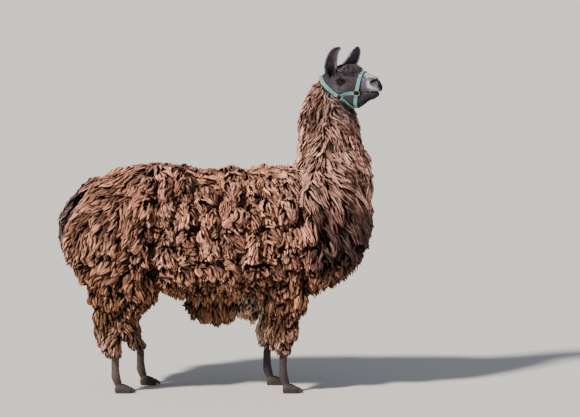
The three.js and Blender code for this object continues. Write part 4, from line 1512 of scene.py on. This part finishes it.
def strap(node, points, ends, over_wool=0.0, steps=64):
    """A strap through places in the head's frame, looped round a ring at each end that has one."""
    route = resampled(np.array([points]), np.linspace(0, 1, steps))[0]
    centre, away = onto_body(route, over_wool)
    rings = [RINGS[end] if end else None for end in ends]
    for ring, flip in zip(rings, (False, True)):
        if ring is None:
            continue
        middle, axis, radius = ring
        keep = np.linalg.norm(centre - middle, axis=1) > radius + RING_CLEAR
        centre, away = centre[keep], away[keep]
        toward = (centre[-1] if flip else centre[0]) - middle
        toward = unit(toward - (toward @ axis) * axis)
        wire = middle + toward * radius
        centre = np.concatenate([centre, [wire]] if flip else [[wire], centre])
        away = np.concatenate([away, [axis]] if flip else [[axis], away])
    # even spacing, then smooth
    reach = reach_of(centre)
    even_reach = np.linspace(0, reach[-1], steps)
    centre, out = at_reach(centre, reach, even_reach), at_reach(away, reach, even_reach)
    for _ in range(10):
        centre[1:-1] += 0.5 * ((centre[:-2] + centre[2:]) / 2 - centre[1:-1])
        out[1:-1] += 0.5 * ((out[:-2] + out[2:]) / 2 - out[1:-1])
    along = unit(np.gradient(centre, axis=0))
    across = unit(np.cross(along, out))
    out = np.cross(across, along)
    # loops: over the wire, round it and back under the strap
    loop = RING_WIRE + PLY * 0.75
    rows = [(centre, across, out)]
    narrow, full = LOOP_WIDTH / 2, WEBBING_WIDTH / 2
    main = np.full(len(centre), full)
    halves = [main]
    turn = np.linspace(math.pi / 2, 3 * math.pi / 2, LOOP_ROWS)
    back = np.linspace(0.003, LOOP_TAPER, UNDER_ROWS)
    for ring, i in zip(rings, (0, -1)):
        if ring is None:
            continue
        way = along[i] * (-1 if i else 1)  # away from the ring
        bend_out = np.cos(turn)[:, None] * way + np.sin(turn)[:, None] * out[i]
        bend = centre[i] + loop * bend_out
        line, line_out, line_side = (a[::-1] if i else a for a in (centre, out, across))
        reach = reach_of(line)
        below = unit(at_reach(line_out, reach, back))
        drop = (loop * (1 - ramp(back, 0.0, 0.012)) + PLY * 1.02)[:, None]
        seq = np.concatenate([bend, at_reach(line, reach, back) - below * drop])
        seq_out = np.concatenate([bend_out, -below])
        seq_side = np.concatenate([np.tile(across[i], (LOOP_ROWS, 1)), at_reach(line_side, reach, back)])
        spread = (full - 0.0082) * ramp(back, 0, LOOP_TAPER)  # stays just hidden by the strap above it
        width = np.concatenate([np.full(LOOP_ROWS, narrow), narrow + spread])
        if i:
            rows.append((seq, seq_side, seq_out))
            halves.append(width)
        else:
            rows.insert(0, (seq[::-1], seq_side, seq_out[::-1]))
            halves.insert(0, width[::-1])
        near = np.linalg.norm(centre - centre[i], axis=1)
        main[:] = np.minimum(main, narrow + (full - narrow) * ramp(near, 0.0, LOOP_TAPER))
        centre += out * (loop * (1 - ramp(near, 0.0, LOOP_TAPER)))[:, None]
    band(node, *(np.concatenate(part) for part in zip(*rows)), np.concatenate(halves))


def torus(node, middle, axis, radius):
    """One brass ring."""
    u, v = (np.linspace(0, 2 * math.pi, n + 1)[:-1] for n in (48, 12))
    side = unit(np.cross(axis, [0.3, 0.2, 1.0]))
    up = np.cross(axis, side)
    out = np.cos(u)[:, None] * side + np.sin(u)[:, None] * up
    verts = (middle + out[:, None] * (radius + RING_WIRE * np.cos(v))[None, :, None]
             + axis * (RING_WIRE * np.sin(v))[None, :, None])
    m = len(v)
    i, j = np.arange(len(u))[:, None], np.arange(m)[None]
    ahead, after = (i + 1) % len(u), (j + 1) % m
    quads = np.stack([i * m + j, ahead * m + j, ahead * m + after, i * m + after], 2).reshape(-1, 4)
    show(make_mesh("halter_" + node, verts.reshape(-1, 3), quads=quads), brass, "brass", node)


def webbing_material():
    m = Nodes("webbing")
    fibre = m.attribute("fibre", "Vector")
    part = m.add("SeparateXYZ", Vector=fibre).outputs
    ribs = m.math("SINE", m.math("MULTIPLY", part[1], 2 * math.pi / 0.0016))
    cords = m.math("SINE", m.math("ADD", m.math("MULTIPLY", part[0], 2 * math.pi / 0.0030),
                                  m.math("MULTIPLY", ribs, 0.9)))
    height = m.math("ADD", m.math("MULTIPLY", ribs, 0.5), m.math("MULTIPLY", cords, 0.5))
    worn = m.noise(fibre, 130.0, 3.0)
    colour = m.mix(m.span(height, -1, 1, 0.0, 1.0), srgb(52, 112, 110), srgb(118, 172, 170))
    colour = m.mix(m.span(worn, 0.45, 0.75, 0.0, 0.55), colour, srgb(150, 182, 182))
    return m.finish(colour, 0.7, height, 0.0005, 0.8, Specular_IOR_Level=0.3)


def brass_material():
    m = Nodes("brass")
    place = m.add("TexCoord").outputs["Object"]
    dull = m.noise(place, 260.0, 3.0)
    colour = m.mix(m.span(dull, 0.4, 0.7, 0.0, 1.0), srgb(206, 178, 112), srgb(128, 98, 54))
    return m.finish(colour, m.span(dull, 0.3, 0.7, 0.22, 0.45), Metallic=1.0)


webbing, brass = webbing_material(), brass_material()
RINGS = {}
for kind, radius in RING_RADIUS.items():
    for _, hand in HANDS:
        node = kind + "_ring_" + hand
        RINGS[node] = (*ring_pose(node), radius)
        torus(node, *RINGS[node])


def mirrored(points, k):
    return [(x, y * k, z) for x, y, z in points]


# routes in the head's frame: ahead, to the left, up
CHEEK_AT = (0.080, 0.064, -0.048)
SIDE_AT = (0.166, 0.050, -0.025)
NOSE_HALF = [SIDE_AT, (0.175, 0.046, 0.012), (0.181, 0.040, 0.048)]
CHIN_HALF = [SIDE_AT, (0.158, 0.042, -0.066)]
CROWN_HALF = [CHEEK_AT, (0.042, 0.066, -0.015), (0.012, 0.062, 0.006), (-0.012, 0.052, 0.024),
              (-0.032, 0.030, 0.048)]
THROAT = [CHEEK_AT, (0.107, 0.054, -0.073), (0.122, 0.046, -0.084), (0.141, 0.024, -0.100)]


def across_head(half, middle):
    """A route from the right side of the head, over its middle, to the left side."""
    return mirrored(half, -1) + [middle] + half[::-1]


SIDE_RINGS = ("side_ring_right", "side_ring_left")
strap("nose_strap", across_head(NOSE_HALF, (0.187, 0, 0.084)), SIDE_RINGS)
strap("chin_strap", across_head(CHIN_HALF, (0.150, 0, -0.104)), SIDE_RINGS)
strap("crown_strap", across_head(CROWN_HALF, (-0.038, 0, 0.060)), ("cheek_ring_right", "cheek_ring_left"),
      over_wool=-0.001, steps=110)
for k, hand in HANDS:
    cheek_ring = "cheek_ring_" + hand
    strap("cheek_strap_" + hand, mirrored([CHEEK_AT, (0.122, 0.056, -0.031), SIDE_AT], k),
          (cheek_ring, "side_ring_" + hand), steps=40)
    strap("throat_strap_" + hand, mirrored(THROAT, k), (cheek_ring, None), steps=40)


# ------------------------------------------------------------------ eyes and nails
EYE_ROWS = 40
EYE_COLUMNS = 56


def eye_material():
    m = Nodes("eye")
    colour = m.attribute("mark", "Color")
    m.shader.inputs["Coat Weight"].default_value = 0.25
    m.shader.inputs["Coat Roughness"].default_value = 0.03
    return m.finish(colour, 0.15, Specular_IOR_Level=0.25)


eye_look = eye_material()
polar = np.linspace(0, math.pi, EYE_ROWS)
turn = np.linspace(0, 2 * math.pi, EYE_COLUMNS + 1)[:-1]
for k, hand in HANDS:
    middle, out, ahead, up = eye_axes(k)
    reach = EYE_RADIUS - 0.0002 + 0.0009 * np.exp(-(polar / 0.42) ** 4)  # the clear front stands out
    r, z = np.sin(polar), np.cos(polar)
    ball = (out * z[:, None, None] + ahead * (r[:, None] * np.cos(turn))[:, :, None]
            + up * (r[:, None] * np.sin(turn))[:, :, None]) * reach[:, None, None]
    mesh = make_mesh("eyeball_" + hand, from_head((middle + ball).reshape(-1, 3)),
                     quads=tube_quads(EYE_ROWS, EYE_COLUMNS))
    # colours by the angle from the front, in degrees
    h, v = (np.degrees(np.outer(polar, part)) for part in (np.cos(turn), np.sin(turn)))
    away = np.degrees(np.repeat(polar[:, None], EYE_COLUMNS, 1))
    white, iris, pupil = srgb(84, 70, 62), srgb(40, 23, 13), srgb(3, 3, 4)
    colour = iris * (0.75 + 0.35 * np.sin(31 * turn)[None, :, None] * np.sin(17 * turn + 1)[None, :, None])
    slit = np.hypot(h / 27, v / 14)
    for other, share in ((pupil, 1 - ramp(slit, 0.92, 1.08)), (pupil, bump(away, 47, 4) * 0.8),
                         (white, ramp(away, 49, 56))):
        colour = colour + (other - colour) * share[:, :, None]
    add_colour(mesh, colour.reshape(-1, 3))
    show(mesh, eye_look, "eye", "eye_" + hand)


def horn_material():
    m = Nodes("horn")
    place = m.add("TexCoord").outputs["Object"]
    grain = m.noise(m.scaled(place, (60, 220, 700)), 1.0, 3.0)
    colour = m.mix(m.span(grain, 0.35, 0.7, 0.0, 1.0), srgb(40, 34, 30), srgb(86, 74, 62))
    return m.finish(colour, 0.5, grain, 0.0006, 0.8)


NAILS = [leg + "_nail_" + side for leg in LEGS for side in ("inner", "outer")]
nail_mesh = evened(remeshed_nodes(NAILS, NAIL_VOXEL), 3, -0.0002)
nail_mesh.name = "nails"
shade_smooth(nail_mesh)
show(nail_mesh, horn_material(), "nail", *NAILS)


# ------------------------------------------------------------------ floor, light and camera
floor = add_object(make_mesh("floor", np.array([[-30, -30, 0], [30, -30, 0], [30, 60, 0], [-30, 60, 0]]),
                             quads=np.array([[0, 1, 2, 3]])))
floor.data.materials.append(Nodes("floor").finish((0.60, 0.59, 0.57, 1), 0.9))

VIEW_DISTANCE = 14.0
VIEW_ELEVATION = math.radians(7)
PIXELS_PER_METRE = 200
PICTURE_WIDTH = 580
SENSOR = 36
aim = Vector((0.340 + SHIFT, 0, 0.9075 / math.cos(VIEW_ELEVATION)))
camera = bpy.data.objects.new("camera", bpy.data.cameras.new("camera"))
bpy.context.scene.collection.objects.link(camera)
camera.data.sensor_width = SENSOR
camera.data.lens = VIEW_DISTANCE * PIXELS_PER_METRE * SENSOR / PICTURE_WIDTH
camera.data.clip_end = 200
camera.location = aim + VIEW_DISTANCE * Vector((0, -math.cos(VIEW_ELEVATION), math.sin(VIEW_ELEVATION)))
camera.rotation_euler = (math.pi / 2 - VIEW_ELEVATION, 0, 0)
bpy.context.scene.camera = camera


sun = bpy.data.lights.new("key", "SUN")
sun.energy = 7.0
sun.color = (1.0, 0.93, 0.84)
sun.angle = math.radians(6)
key = bpy.data.objects.new("key", sun)
bpy.context.scene.collection.objects.link(key)
key.rotation_euler = Vector((0.70, 0.55, -0.80)).to_track_quat("-Z", "Y").to_euler()
world = bpy.data.worlds.new("world")
bpy.context.scene.world = world
world.use_nodes = True
sky = world.node_tree.nodes["Background"].inputs
sky["Color"].default_value = (0.82, 0.88, 1.0, 1)
sky["Strength"].default_value = 0.38
